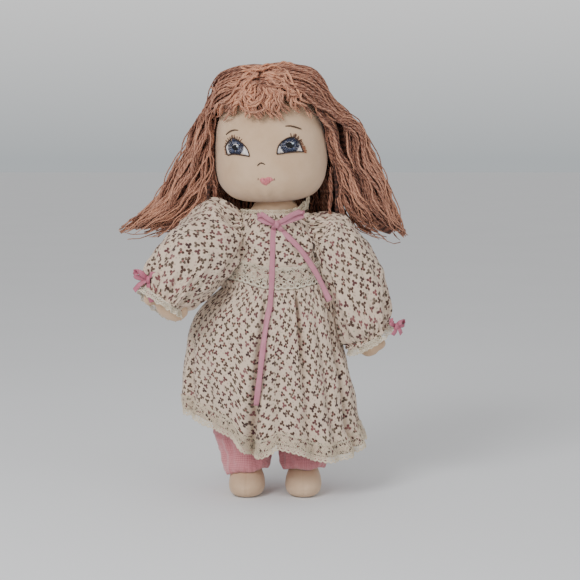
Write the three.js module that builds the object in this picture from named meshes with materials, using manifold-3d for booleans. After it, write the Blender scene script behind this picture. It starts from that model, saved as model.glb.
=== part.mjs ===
// A cloth doll: stuffed muslin body, yarn hair, embroidered face, calico dress with lace, knit pantaloons.
// Millimetres. +Z is up, the doll faces -Y, and left and right are the doll's own: its left is +X.
import * as THREE from 'three';
import { mergeVertices } from 'three/addons/utils/BufferGeometryUtils.js';
import Module from 'manifold-3d';

// Cloth thicknesses and the space left between neighbouring pieces.
const CLEARANCE = 0.3;
const MUSLIN = 1;
const CALICO = 0.8;
const KNIT = 1;
const LACE = 0.6;
const EMBROIDERY = 0.4;
// Half the thickness that a flat seam keeps, and the slack of the hip seam that the legs fold at.
const SEAM_EDGE = 0.12;
const HIP_GAP = 0.5;
// How far a cutting block reaches past what it cuts.
const OVERRUN = 60;

// Where the body's upright axis stands in the part's frame.
const BODY_AXIS = { x: 10.5, y: 9 };

// Sides round each kind of form; the stuffing of a limb or the head has half as many as its cover.
const SIDES = { head: 20, body: 16, limb: 12, garment: 24, sleeve: 14, lock: 10, ribbon: 8, skirt: 60 };
const STUFFING_SHARE = 0.5;

// Rows of a form are shares: height, width, depth, then the centre's place across and back.
const TORSO = { bottom: 110, height: 124, width: 72, depth: 46 };
const TORSO_SHARES = [
  [0, 0.94, 0.005],
  [0.08, 1, 0.32],
  [0.18, 1, 0.72],
  [0.3, 0.98, 0.96],
  [0.5, 0.92, 0.96],
  [0.7, 0.95, 0.94],
  [0.84, 1, 0.86],
  [0.94, 0.86, 0.76],
  [1, 0.56, 0.74],
];

// The neck is a soft ball round the nodding axis, cut flat where it meets the torso.
const NECK = { width: 42, depth: 35, height: 17.5, steps: 7 };
const NOD_AXIS_HEIGHT = TORSO.bottom + TORSO.height + CLEARANCE;

const HEAD = { bottom: 245, height: 105.5, width: 93, depth: 84, turn: 12, tilt: 2, x: -2, y: -1 };
const HEAD_SHARES = [
  [0, 0.43, 0.43],
  [0.015, 0.6, 0.6],
  [0.05, 0.78, 0.78],
  [0.11, 0.91, 0.91],
  [0.2, 0.985, 0.985],
  [0.31, 1, 1],
  [0.45, 0.99, 0.995],
  [0.6, 0.945, 0.955],
  [0.73, 0.86, 0.87],
  [0.84, 0.72, 0.73],
  [0.93, 0.51, 0.52],
  [0.98, 0.29, 0.3],
  [1, 0.06, 0.06],
];

// Arms hang from the shoulders; each has its own direction, from shoulder to hand.
const ARM = { length: 110, capHeight: 12, width: 30, depth: 27 };
const ARM_SHARES = [
  [0, 0.22, 0.2],
  [0.03, 0.6, 0.55],
  [0.1, 0.9, 0.88],
  [0.22, 1, 1],
  [0.42, 0.92, 0.92],
  [0.66, 0.8, 0.78],
  [0.8, 0.7, 0.66],
  [0.87, 0.82, 0.66],
  [0.95, 0.72, 0.58],
  [1, 0.26, 0.2],
];
const THUMB = { length: 17, width: 10.5, along: 97, across: 13, slant: 35 };
const THUMB_SHARES = [
  [0, 0.3, 0.3],
  [0.15, 0.8, 0.8],
  [0.5, 1, 1],
  [0.85, 0.8, 0.8],
  [1, 0.3, 0.3],
];
const SHOULDER = { x: 46, height: 224 };
const ARM_DIRECTIONS = {
  left: new THREE.Vector3(0.34, -0.08, -0.94),
  right: new THREE.Vector3(-0.455, -0.55, -0.7),
};

// A leg tapers to a flat seam at the hip; the foot pushes forward and its sole is flat.
const LEG = { height: TORSO.bottom - HIP_GAP, width: 32, depth: 32, x: 23.8 };
const LEG_SHARES = [
  [0, 0.8, 1.34, 0, -0.2],
  [0.025, 0.95, 1.5, 0, -0.2],
  [0.08, 0.97, 1.5, 0, -0.19],
  [0.13, 0.92, 1.32, 0, -0.16],
  [0.17, 0.82, 1.02, 0, -0.1],
  [0.21, 0.74, 0.78, 0, -0.02],
  [0.3, 0.74, 0.78, 0, 0],
  [0.42, 0.86, 0.9, 0, 0],
  [0.6, 0.94, 0.96, 0, 0],
  [0.8, 0.95, 0.76, 0, 0],
  [0.91, 0.9, 0.36, 0, 0],
  [1, 0.86, 0.005, 0, 0],
];

const PANTALOON_SEAT = { bottom: 101, height: 61, width: 92, depth: 60 };
const PANTALOON_SEAT_SHARES = [
  [0, 0.98, 0.94],
  [0.2, 1, 1],
  [0.5, 0.98, 1],
  [0.8, 0.9, 0.94],
];
const PANTALOON_LEG = { bottom: 20.5, height: 80, width: 47, depth: 50 };
const PANTALOON_LEG_SHARES = [
  [0, 0.76, 0.76],
  [0.06, 0.67, 0.68],
  [0.13, 0.67, 0.68],
  [0.22, 0.93, 0.94],
  [0.5, 1, 1],
  [0.8, 0.97, 1],
  [1, 0.92, 0.98],
];
const ELASTIC = { band: 4, thickness: 1.2, ease: 0.45 };

const BODICE = { bottom: 174.2, height: 65, width: 87, depth: 64 };
const ARMHOLE = { inner: 33, height: 213, tall: 50, deep: 46 };
const BODICE_SHARES = [
  [0, 1, 1],
  [0.25, 0.98, 0.97],
  [0.5, 0.98, 0.94],
  [0.74, 0.92, 0.86],
  [0.9, 0.72, 0.76],
  [1, 0.57, 0.66],
];
const YOKE_LACE = { bottom: 176, height: 18, width: 80 };
const NECK_LACE = { height: 5, flare: 3 };
const PLACKET = { bottom: 181, height: 46, width: 12, standOff: 1.7 };
const SNAP = { diameter: 6, thickness: 1.1, heights: [202, 220] };

// The skirt falls from the yoke seam; its hem rises at the doll's right side.
const SKIRT = { top: 173.8, hem: 42, width: 146, depth: 102, folds: 10, foldDepth: 7, rise: 25 };
const SKIRT_SHARES = [
  [0, 0.64, 0.66, 0],
  [0.12, 0.76, 0.76, -0.01],
  [0.26, 0.86, 0.84, -0.035],
  [0.42, 0.9, 0.9, -0.05],
  [0.62, 0.93, 0.95, -0.04],
  [0.82, 0.97, 0.98, -0.02],
  [1, 1, 1, 0],
];
const HEM_LACE = { drop: 12, scallops: 20, waveShare: 0.18 };

const SLEEVE = { capHeight: 16, length: 90, width: 60, depth: 52, cuff: 88 };
const SLEEVE_SHARES = [
  [0, 0.4, 0.4],
  [0.075, 0.72, 0.7],
  [0.17, 0.94, 0.92],
  [0.32, 1, 1],
  [0.55, 0.97, 1],
  [0.76, 0.88, 0.94],
  [0.9, 0.7, 0.78],
  [0.97, 0.54, 0.6],
  [1, 0.52, 0.58],
];
const CUFF_LACE = { length: 10, flare: 4 };

// Hair, in thickness over the scalp and in hanging locks.
const HAIR = { thickness: 7.5, napeHeight: 22, hairline: 74, parting: 8 };
const FRINGE = { thickness: 9, width: 84, tufts: 7, tuftDrop: 5 };
// Points down each side's mass of hair: across, back and up, then half its breadth and half its depth.
const LOCKS = {
  hair_side_right: [
    [-20, 2, 350, 4, 8],
    [-38, 4, 339, 9, 16],
    [-48, 6, 322, 13, 22],
    [-55, 8, 300, 16, 24],
    [-64, 9, 275, 19, 24],
    [-77, 11, 252, 19, 20],
    [-96, 13, 235, 13, 13],
    [-115, 14, 226, 7, 8],
    [-131, 13, 221, 1.5, 2],
  ],
  hair_side_left: [
    [18, 2, 351, 4, 8],
    [34, 4, 341, 8, 16],
    [48, 6, 322, 12, 22],
    [58, 8, 301, 16.5, 24],
    [66, 9, 275, 20, 24],
    [77, 11, 250, 21, 20],
    [88, 13, 232, 17, 14],
    [100, 13, 222, 9, 10],
    [109, 13, 216, 3, 4],
  ],
};
// The hair below the crown hangs as a curtain round the back of the neck.
const CURTAIN = { bottom: 226, width: 118, depth: 106, thickness: 9 };
const CURTAIN_SHARES = [
  [0, 0.98, 0.96],
  [0.5, 0.98, 1],
  [1, 0.91, 0.93],
];

// Embroidery on the head, measured from the chin upward and from the nose line across.
const EYE = { x: 22.6, height: 51, width: 21.5, rise: 13, dip: 4.5, iris: 5.4, gaze: -1 };
const BROW = { length: 12, thread: 1, arch: 2.2, x: 21, height: 66 };
const NOSE = { x: -1, height: 36, width: 6.4, arch: 1.6, thread: 0.9 };
const LIPS = { x: 2, height: 22, width: 14, peak: 4, dip: 5 };

// Ribbon bows, drawn flat and set on what they tie.
const NECK_BOW = { loop: 17, thickness: 2.4, x: 2, y: -27.2, height: 228 };
const CUFF_BOW = { loop: 9.5, thickness: 2, aside: 55, above: 5 };
const RIBBON = { width: 5, thickness: 0.8 };
// The free ribbon tails: points across, back and up, chosen by hand.
const TAIL_LONG = [
  [-1, -27.9, 224.4],
  [-1.5, -30.2, 212],
  [-2, -32.5, 195],
  [-2.5, -33.8, 180],
  [-3.5, -37.6, 165],
  [-6.5, -41.6, 150],
  [-9, -44.9, 132],
  [-11, -47.3, 115],
  [-13, -49.3, 98],
  [-15, -50.4, 82],
];
const TAIL_SHORT = [
  [6, -27.6, 222.4],
  [14, -28.6, 215],
  [22, -28.4, 206],
  [29, -27.4, 196],
  [35, -27, 186],
  [40, -27.5, 176],
  [45, -29, 165],
];

const wasm = await Module();
wasm.setup();

// Finishes.
function finish(color, roughness, metalness = 0) {
  return new THREE.MeshStandardMaterial({ color, roughness, metalness });
}

const muslin = finish(0xe3d2bf, 0.9);
const polyesterFibre = finish(0xf2f0ea, 1);
const peachYarn = finish(0xc08b72, 0.95);
const calico = finish(0xe6dccb, 0.85);
const creamLace = finish(0xece2d0, 0.9);
const pinkKnit = finish(0xd48f9d, 0.9);
const pinkSatin = finish(0xc9839b, 0.4);
const elastic = finish(0xf1eee6, 0.7);
const whiteThread = finish(0xf3efe9, 0.6);
const blueThread = finish(0x5a74a8, 0.5);
const brownThread = finish(0x5b4030, 0.6);
const pinkThread = finish(0xd78f92, 0.5);
const snapMetal = finish(0xc9cbcc, 0.35, 0.9);

// Closed skin over rings of points, each ring joined to the next; endless joins the last to the first.
function skin(rings, endless = false) {
  const geometry = new THREE.BufferGeometry();
  const starts = [];
  let count = 0;
  for (const ring of rings) {
    starts.push(count);
    count += ring.length;
  }
  const faces = [];
  const last = endless ? rings.length : rings.length - 1;
  for (let level = 0; level < last; level += 1) {
    const next = (level + 1) % rings.length;
    const below = rings[level].length;
    const above = rings[next].length;
    const rising = rings[next][0].z >= rings[level][0].z;
    for (let i = 0; i < Math.max(below, above); i += 1) {
      const j = i + 1;
      const corners = [
        starts[level] + (i % below),
        starts[level] + (j % below),
        starts[next] + (j % above),
        starts[next] + (i % above),
      ];
      const order = rising || below === 1 || above === 1 ? [0, 1, 2, 3] : [1, 2, 3, 0];
      const [a, b, c, d] = order.map((k) => corners[k]);
      if (below > 1) faces.push(a, b, c);
      if (above > 1) faces.push(a, c, d);
    }
  }
  const places = rings.flat().flatMap((point) => [point.x, point.y, point.z]);
  geometry.setAttribute('position', new THREE.Float32BufferAttribute(places, 3));
  geometry.setIndex(faces);
  return facingOut(geometry);
}

// Turns the faces round where the solid would be inside out.
function facingOut(geometry) {
  const position = geometry.attributes.position;
  const faces = geometry.index.array;
  const [a, b, c] = [new THREE.Vector3(), new THREE.Vector3(), new THREE.Vector3()];
  let volume = 0;
  for (let i = 0; i < faces.length; i += 3) {
    a.fromBufferAttribute(position, faces[i]);
    b.fromBufferAttribute(position, faces[i + 1]);
    c.fromBufferAttribute(position, faces[i + 2]);
    volume += a.dot(b.cross(c));
  }
  if (volume < 0) {
    for (let i = 0; i < faces.length; i += 3) {
      [faces[i + 1], faces[i + 2]] = [faces[i + 2], faces[i + 1]];
    }
  }
  return geometry;
}

// Rows of a form as half sizes and centres in millimetres, each with its outward lean.
function rowsOf(form, shares) {
  const rows = shares.map(([up, wide, deep, across = 0, back = 0]) => ({
    z: up * form.height,
    a: (wide * form.width) / 2,
    b: (deep * form.depth) / 2,
    x: across * form.width,
    y: back * form.depth,
  }));
  rows.forEach((row, i) => {
    const before = rows[Math.max(i - 1, 0)];
    const after = rows[Math.min(i + 1, rows.length - 1)];
    const swell = (after.a + after.b - before.a - before.b) / 2;
    const lean = Math.atan2(-swell, after.z - before.z);
    row.out = Math.cos(lean);
    row.up = Math.sin(lean);
  });
  rows[0].up = Math.min(rows[0].up, 0);
  rows[rows.length - 1].up = Math.max(rows[rows.length - 1].up, 0);
  return rows;
}

function ovalRing(row, grow, sides) {
  const ring = [];
  for (let i = 0; i < sides; i += 1) {
    const angle = (i / sides) * Math.PI * 2;
    const x = row.x + Math.max(row.a + grow * row.out, SEAM_EDGE) * Math.cos(angle);
    const y = row.y + Math.max(row.b + grow * row.out, SEAM_EDGE) * Math.sin(angle);
    ring.push(new THREE.Vector3(x, y, row.z + grow * row.up));
  }
  return ring;
}

function centreOf(row, grow) {
  return new THREE.Vector3(row.x, row.y, row.z + grow * row.up);
}

// A stuffed form, closed at both ends, grown or shrunk by a distance.
function solidForm(form, shares, sides, grow = 0) {
  const rows = rowsOf(form, shares);
  const rings = rows.map((row) => ovalRing(row, grow, sides));
  return skin([[centreOf(rows[0], grow)], ...rings, [centreOf(rows[rows.length - 1], grow)]]);
}

// A cloth tube with both ends open, its outer face on the form and its wall inside it.
function tubeForm(form, shares, sides, wall, grow = 0) {
  const rows = rowsOf(form, shares);
  const outer = rows.map((row) => ovalRing(row, grow, sides));
  const inner = rows.map((row) => ovalRing(row, grow - wall, sides)).reverse();
  return skin([...outer, ...inner], true);
}

// A cloth bag with one end open.
function bagForm(form, shares, sides, wall, openTop) {
  const rows = rowsOf(form, shares);
  if (!openTop) rows.reverse();
  const outer = rows.map((row) => ovalRing(row, 0, sides));
  const inner = rows.map((row) => ovalRing(row, -wall, sides)).reverse();
  return skin([[centreOf(rows[0], 0)], ...outer, ...inner, [centreOf(rows[0], -wall)]]);
}

function toSolid(geometry) {
  let bare = geometry.clone();
  bare.deleteAttribute('normal');
  bare.deleteAttribute('uv');
  bare = mergeVertices(bare);
  const faces = [];
  for (let i = 0; i < bare.index.count; i += 3) {
    const [a, b, c] = [0, 1, 2].map((corner) => bare.index.getX(i + corner));
    if (a !== b && b !== c && c !== a) faces.push(a, b, c);
  }
  return new wasm.Manifold(
    new wasm.Mesh({
      numProp: 3,
      vertProperties: new Float32Array(bare.attributes.position.array),
      triVerts: new Uint32Array(faces),
    }),
  );
}

function toGeometry(solid) {
  const mesh = solid.getMesh();
  const geometry = new THREE.BufferGeometry();
  geometry.setAttribute('position', new THREE.Float32BufferAttribute(mesh.vertProperties, 3));
  geometry.setIndex([...mesh.triVerts]);
  return geometry;
}

function cut(geometry, cutters) {
  const cutAway = (solid, cutter) => solid.subtract(toSolid(cutter));
  return toGeometry(cutters.reduce(cutAway, toSolid(geometry)));
}

function joined(geometry, additions) {
  const add = (solid, addition) => solid.add(toSolid(addition));
  return toGeometry(additions.reduce(add, toSolid(geometry)));
}

function common(first, second) {
  return toGeometry(toSolid(first).intersect(toSolid(second)));
}

// Moves a geometry from one group's frame to another's.
function inFrame(geometry, from, to) {
  const matrix = to.matrixWorld.clone().invert().multiply(from.matrixWorld);
  return geometry.clone().applyMatrix4(matrix);
}

// An upright block from a front-view outline, between two distances in front of the axis.
function frontBlock(outline, near, far, curveSegments = 6) {
  const options = { depth: far - near, bevelEnabled: false, curveSegments };
  return new THREE.ExtrudeGeometry(outline, options).translate(0, 0, near).rotateX(Math.PI / 2);
}

function blockBetween(low, high) {
  const size = high.clone().sub(low);
  const middle = high.clone().add(low).multiplyScalar(0.5);
  return new THREE.BoxGeometry(size.x, size.y, size.z).translate(middle.x, middle.y, middle.z);
}

// The groups that the pieces hang in.
const part = new THREE.Group();
const doll = new THREE.Group();
doll.position.set(BODY_AXIS.x, BODY_AXIS.y, 0);
part.add(doll);

function groupAt(x, y, z) {
  const group = new THREE.Group();
  group.position.set(x, y, z);
  doll.add(group);
  return group;
}

const torsoGroup = groupAt(0, 0, TORSO.bottom);
const neckGroup = groupAt(0, 0, NOD_AXIS_HEIGHT);
const headGroup = groupAt(HEAD.x, HEAD.y, HEAD.bottom);
const headTurn = THREE.MathUtils.degToRad(-HEAD.turn);
const headTilt = THREE.MathUtils.degToRad(-HEAD.tilt);
headGroup.rotation.set(0, headTilt, headTurn);
const bodiceGroup = groupAt(0, 0, BODICE.bottom);
const sideSigns = { left: 1, right: -1 };
const armGroups = {};
const legGroups = {};
for (const [side, sign] of Object.entries(sideSigns)) {
  armGroups[side] = groupAt(sign * SHOULDER.x, 0, SHOULDER.height);
  const handward = ARM_DIRECTIONS[side].clone().normalize();
  armGroups[side].quaternion.setFromUnitVectors(new THREE.Vector3(0, 0, -1), handward);
  legGroups[side] = groupAt(sign * LEG.x, 0, 0);
}
part.updateMatrixWorld(true);

function piece(name, geometry, material, group = doll) {
  geometry.deleteAttribute('uv');
  geometry.computeVertexNormals();
  const mesh = new THREE.Mesh(geometry, material);
  mesh.name = name;
  group.add(mesh);
  return mesh;
}

// Forms that others are cut by, each grown as asked.
const headSolid = (grow) => solidForm(HEAD, HEAD_SHARES, SIDES.head, grow);
const bodiceSolid = (grow) => solidForm(BODICE, BODICE_SHARES, SIDES.garment, grow);

function neckShares() {
  const shares = [];
  for (let i = 0; i < NECK.steps; i += 1) {
    const up = Math.sin((i / NECK.steps) * (Math.PI / 2));
    const round = Math.sqrt(1 - up * up);
    shares.push([up, round, round]);
  }
  return shares;
}

function torso() {
  piece('torso_cover', bagForm(TORSO, TORSO_SHARES, SIDES.body, MUSLIN, true), muslin, torsoGroup);
  const inside = -(MUSLIN + CLEARANCE);
  piece('torso_stuffing', solidForm(TORSO, TORSO_SHARES, SIDES.body, inside), polyesterFibre, torsoGroup);
}

function neck() {
  const shares = neckShares();
  piece('neck_cover', bagForm(NECK, shares, SIDES.body, MUSLIN, false), muslin, neckGroup);
  const stuffing = solidForm(NECK, shares, SIDES.body * STUFFING_SHARE, -(MUSLIN + CLEARANCE));
  piece('neck_stuffing', stuffing, polyesterFibre, neckGroup);
}

function head() {
  const neckBall = inFrame(solidForm(NECK, neckShares(), SIDES.body, 2 * CLEARANCE), neckGroup, headGroup);
  const outer = headSolid(0);
  const inner = headSolid(-MUSLIN);
  piece('head_cover', cut(outer, [inner, neckBall]), muslin, headGroup);
  const inside = -(MUSLIN + CLEARANCE);
  const stuffing = solidForm(HEAD, HEAD_SHARES, SIDES.head * STUFFING_SHARE, inside);
  piece('head_stuffing', cut(stuffing, [neckBall]), polyesterFibre, headGroup);
}

// A stitched patch: the part of a thin layer over the face that an outline takes in.
function patch(name, outline, material) {
  const layer = cut(headSolid(CLEARANCE + EMBROIDERY), [headSolid(CLEARANCE)]);
  piece(name, common(layer, frontBlock(outline, 0, HEAD.depth)), material, headGroup);
}

function arcStroke(x, height, width, arch, thread) {
  const outline = new THREE.Shape();
  outline.moveTo(x - width / 2, height);
  outline.quadraticCurveTo(x, height + 2 * arch, x + width / 2, height);
  outline.lineTo(x + width / 2, height - thread);
  outline.quadraticCurveTo(x, height + 2 * arch - thread, x - width / 2, height - thread);
  outline.closePath();
  return outline;
}

function face() {
  for (const [side, sign] of Object.entries(sideSigns)) {
    const x = sign * EYE.x;
    const outline = new THREE.Shape();
    outline.moveTo(x - EYE.width / 2, EYE.height - EYE.dip);
    outline.bezierCurveTo(
      x - EYE.width / 2,
      EYE.height + EYE.rise,
      x + EYE.width / 2,
      EYE.height + EYE.rise,
      x + EYE.width / 2,
      EYE.height - EYE.dip,
    );
    outline.quadraticCurveTo(x, EYE.height - 2 * EYE.dip, x - EYE.width / 2, EYE.height - EYE.dip);
    const irisHole = new THREE.Path();
    irisHole.absarc(x + EYE.gaze, EYE.height, EYE.iris + CLEARANCE, 0, Math.PI * 2, false);
    outline.holes.push(irisHole);
    patch(`eye_${side}`, outline, whiteThread);
    const iris = new THREE.Shape();
    iris.absarc(x + EYE.gaze, EYE.height, EYE.iris, 0, Math.PI * 2, false);
    patch(`iris_${side}`, iris, blueThread);
    const brow = arcStroke(sign * BROW.x, BROW.height, BROW.length, BROW.arch, BROW.thread);
    patch(`brow_${side}`, brow, brownThread);
  }
  patch('nose_stitch', arcStroke(NOSE.x, NOSE.height, NOSE.width, NOSE.arch, NOSE.thread), brownThread);
  const lips = new THREE.Shape();
  lips.moveTo(LIPS.x - LIPS.width / 2, LIPS.height);
  const peak = LIPS.height + LIPS.peak;
  lips.quadraticCurveTo(LIPS.x - LIPS.width / 4, peak, LIPS.x, LIPS.height + LIPS.peak / 2);
  lips.quadraticCurveTo(LIPS.x + LIPS.width / 4, peak, LIPS.x + LIPS.width / 2, LIPS.height);
  lips.quadraticCurveTo(LIPS.x, LIPS.height - 2 * LIPS.dip, LIPS.x - LIPS.width / 2, LIPS.height);
  patch('lips', lips, pinkThread);
}

// The arm's rows run down from above the shoulder to the fingertips.
function armForm(form, shares, sides, grow) {
  const reach = form.capHeight + form.length;
  const hanging = { width: form.width, depth: form.depth, height: reach };
  const upward = shares.map(([down, ...rest]) => [1 - down, ...rest]).reverse();
  return solidForm(hanging, upward, sides, grow).translate(0, 0, form.capHeight - reach);
}

function thumbForm(sign, sides, grow) {
  const form = { width: THUMB.width, depth: THUMB.width, height: THUMB.length };
  const thumb = solidForm(form, THUMB_SHARES, sides, grow).translate(0, 0, -THUMB.length);
  thumb.rotateY(THREE.MathUtils.degToRad(-sign * THUMB.slant));
  return thumb.translate((sign * THUMB.across) / 2, 0, -(THUMB.along - THUMB.length / 2));
}

// A wide block on the body's side of an upright plane, which flattens the shoulder against the torso.
function bodySideBlock(sign, distance, group) {
  const low = new THREE.Vector3(-OVERRUN, -OVERRUN, SHOULDER.height - 2 * OVERRUN);
  const high = new THREE.Vector3(sign * distance, OVERRUN, SHOULDER.height + OVERRUN);
  if (sign < 0) {
    low.x = -distance;
    high.x = OVERRUN;
  }
  return inFrame(blockBetween(low, high), doll, group);
}

function arms() {
  for (const [side, sign] of Object.entries(sideSigns)) {
    const group = armGroups[side];
    const limb = (sides, grow) => {
      const arm = armForm(ARM, ARM_SHARES, sides, grow);
      return joined(arm, [thumbForm(sign, sides, grow)]);
    };
    const shoulderPlane = TORSO.width / 2 + CLEARANCE;
    const cover = cut(limb(SIDES.limb, 0), [
      limb(SIDES.limb, -MUSLIN),
      bodySideBlock(sign, shoulderPlane, group),
    ]);
    piece(`arm_cover_${side}`, cover, muslin, group);
    const stuffing = limb(SIDES.limb * STUFFING_SHARE, -(MUSLIN + CLEARANCE));
    const inner = cut(stuffing, [bodySideBlock(sign, shoulderPlane, group)]);
    piece(`arm_stuffing_${side}`, inner, polyesterFibre, group);
  }
}

function legs() {
  for (const side of Object.keys(sideSigns)) {
    const group = legGroups[side];
    piece(`leg_cover_${side}`, bagForm(LEG, LEG_SHARES, SIDES.limb, MUSLIN, true), muslin, group);
    const inside = -(MUSLIN + CLEARANCE);
    const stuffing = solidForm(LEG, LEG_SHARES, SIDES.limb, inside);
    piece(`leg_stuffing_${side}`, stuffing, polyesterFibre, group);
  }
}

// The half sizes and centre that a table of rows gives at a share of its length.
function rowAt(rowShares, share) {
  const next = rowShares.findIndex((row) => row[0] >= share);
  const before = rowShares[Math.max(next - 1, 0)];
  const after = rowShares[next < 0 ? rowShares.length - 1 : next];
  const span = after[0] - before[0];
  const blend = span > 0 ? (share - before[0]) / span : 0;
  return before.map((value, i) => value + (after[i] - value) * blend);
}

// A flat elastic band round an oval, lying just inside a casing.
function elasticBand(halfWidth, halfDepth, sides) {
  const form = { width: 2 * halfWidth, depth: 2 * halfDepth, height: ELASTIC.band };
  const shares = [
    [0, 1, 1],
    [1, 1, 1],
  ];
  return tubeForm(form, shares, sides, ELASTIC.thickness);
}

function pantaloons() {
  const seat = groupAt(0, 0, PANTALOON_SEAT.bottom);
  const waistHeight = PANTALOON_SEAT.bottom + PANTALOON_SEAT.height - TORSO.bottom;
  const [, waistWide, waistDeep] = rowAt(TORSO_SHARES, waistHeight / TORSO.height);
  const around = ELASTIC.thickness + ELASTIC.ease;
  const halfWidth = (waistWide * TORSO.width) / 2 + around;
  const halfDepth = (waistDeep * TORSO.depth) / 2 + around;
  const waistShares = [1, (2 * halfWidth) / PANTALOON_SEAT.width, (2 * halfDepth) / PANTALOON_SEAT.depth];
  const seatShares = [...PANTALOON_SEAT_SHARES, waistShares];
  piece('pantaloon_seat', tubeForm(PANTALOON_SEAT, seatShares, SIDES.garment, KNIT), pinkKnit, seat);
  const waist = elasticBand(halfWidth, halfDepth, SIDES.garment);
  waist.translate(0, 0, PANTALOON_SEAT.height + CLEARANCE);
  piece('waist_elastic', waist, elastic, seat);
  for (const [side, sign] of Object.entries(sideSigns)) {
    const leg = groupAt(sign * LEG.x, 0, PANTALOON_LEG.bottom);
    const tube = tubeForm(PANTALOON_LEG, PANTALOON_LEG_SHARES, SIDES.sleeve, KNIT);
    piece(`pantaloon_leg_${side}`, tube, pinkKnit, leg);
    const [gather, wide, deep] = PANTALOON_LEG_SHARES[1];
    const inside = KNIT + 2 * CLEARANCE;
    const band = elasticBand(
      (wide * PANTALOON_LEG.width) / 2 - inside,
      (deep * PANTALOON_LEG.depth) / 2 - inside,
      SIDES.sleeve,
    );
    band.translate(0, 0, gather * PANTALOON_LEG.height);
    piece(`ankle_elastic_${side}`, band, elastic, leg);
  }
}

function skirtPoint(share, angle, inset, drop = 0) {
  const [, wide, deep, across] = rowAt(SKIRT_SHARES, Math.min(share, 1));
  const rightSide = Math.max(-Math.cos(angle), 0) ** 2;
  const bottom = SKIRT.hem + SKIRT.rise * rightSide;
  const fold = (SKIRT.foldDepth * Math.min(share, 1) * (1 + Math.cos(SKIRT.folds * angle))) / 2;
  const x = across * SKIRT.width + ((wide * SKIRT.width) / 2 - fold - inset) * Math.cos(angle);
  const y = ((deep * SKIRT.depth) / 2 - fold - inset) * Math.sin(angle);
  return new THREE.Vector3(x, y, SKIRT.top + (bottom - SKIRT.top) * share - drop);
}

function skirtRing(share, inset, dropAt = () => 0) {
  const ring = [];
  for (let i = 0; i < SIDES.skirt; i += 1) {
    const angle = (i / SIDES.skirt) * Math.PI * 2;
    ring.push(skirtPoint(share, angle, inset, dropAt(angle)));
  }
  return ring;
}

function skirtSolid(grow) {
  const rings = SKIRT_SHARES.map(([share]) => skirtRing(share, -grow));
  const top = new THREE.Vector3(0, 0, rings[0][0].z);
  const bottom = new THREE.Vector3(0, 0, SKIRT.hem);
  return skin([[top], ...rings, [bottom]]);
}

// An oval block through the side of the bodice, where a sleeve is set in.
function armhole(sign) {
  const outline = new THREE.Shape();
  const height = ARMHOLE.height - BODICE.bottom;
  outline.absellipse(0, height, ARMHOLE.deep / 2, ARMHOLE.tall / 2, 0, Math.PI * 2);
  return frontBlock(outline, ARMHOLE.inner, ARMHOLE.inner + OVERRUN).rotateZ((sign * Math.PI) / 2);
}

function dress() {
  const bodice = tubeForm(BODICE, BODICE_SHARES, SIDES.garment, CALICO);
  piece('bodice', cut(bodice, Object.values(sideSigns).map(armhole)), calico, bodiceGroup);

  const outer = SKIRT_SHARES.map(([share]) => skirtRing(share, 0));
  const inner = SKIRT_SHARES.map(([share]) => skirtRing(share, CALICO)).reverse();
  piece('skirt', skin([...outer, ...inner], true), calico);

  const scallop = (angle) => {
    const wave = HEM_LACE.waveShare * Math.cos(HEM_LACE.scallops * angle);
    return HEM_LACE.drop * (1 + wave);
  };
  const seam = () => CLEARANCE;
  const lace = [
    skirtRing(1, 0, seam),
    skirtRing(1, 0, scallop),
    skirtRing(1, LACE, scallop),
    skirtRing(1, LACE, seam),
  ];
  piece('hem_lace', skin(lace, true), creamLace);

  for (const side of Object.keys(sideSigns)) {
    const group = armGroups[side];
    const cutters = [
      armForm(SLEEVE, SLEEVE_SHARES, SIDES.sleeve, -CALICO),
      openEndBlock(SLEEVE),
      inFrame(bodiceSolid(3 * CLEARANCE + LACE), bodiceGroup, group),
      inFrame(solidForm(TORSO, TORSO_SHARES, SIDES.body, CLEARANCE), torsoGroup, group),
      inFrame(skirtSolid(CLEARANCE), doll, group),
    ];
    const sleeve = cut(armForm(SLEEVE, SLEEVE_SHARES, SIDES.sleeve, 0), cutters);
    piece(`sleeve_${side}`, sleeve, calico, group);
  }
}

// A block that opens a sleeve at its cuff.
function openEndBlock(form) {
  const low = new THREE.Vector3(-OVERRUN, -OVERRUN, -form.length - OVERRUN);
  const high = new THREE.Vector3(OVERRUN, OVERRUN, -form.cuff);
  return blockBetween(low, high);
}

// A band that follows the bodice between two heights, standing off its surface.
function bodiceBand(bottom, top, standOff, thickness) {
  const low = new THREE.Vector3(-OVERRUN, -OVERRUN, bottom - BODICE.bottom);
  const high = new THREE.Vector3(OVERRUN, OVERRUN, top - BODICE.bottom);
  const layer = cut(bodiceSolid(standOff + thickness), [bodiceSolid(standOff)]);
  return common(layer, blockBetween(low, high));
}

function sleeveRadius(side) {
  const [, wide, deep] = SLEEVE_SHARES[SLEEVE_SHARES.length - 2];
  return side === 'width' ? (wide * SLEEVE.width) / 2 : (deep * SLEEVE.depth) / 2;
}

// How far the sleeve stands out from its axis just above the cuff.
function sleevePuff() {
  const [, wide] = SLEEVE_SHARES[SLEEVE_SHARES.length - 3];
  return (wide * SLEEVE.width) / 2;
}

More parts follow.
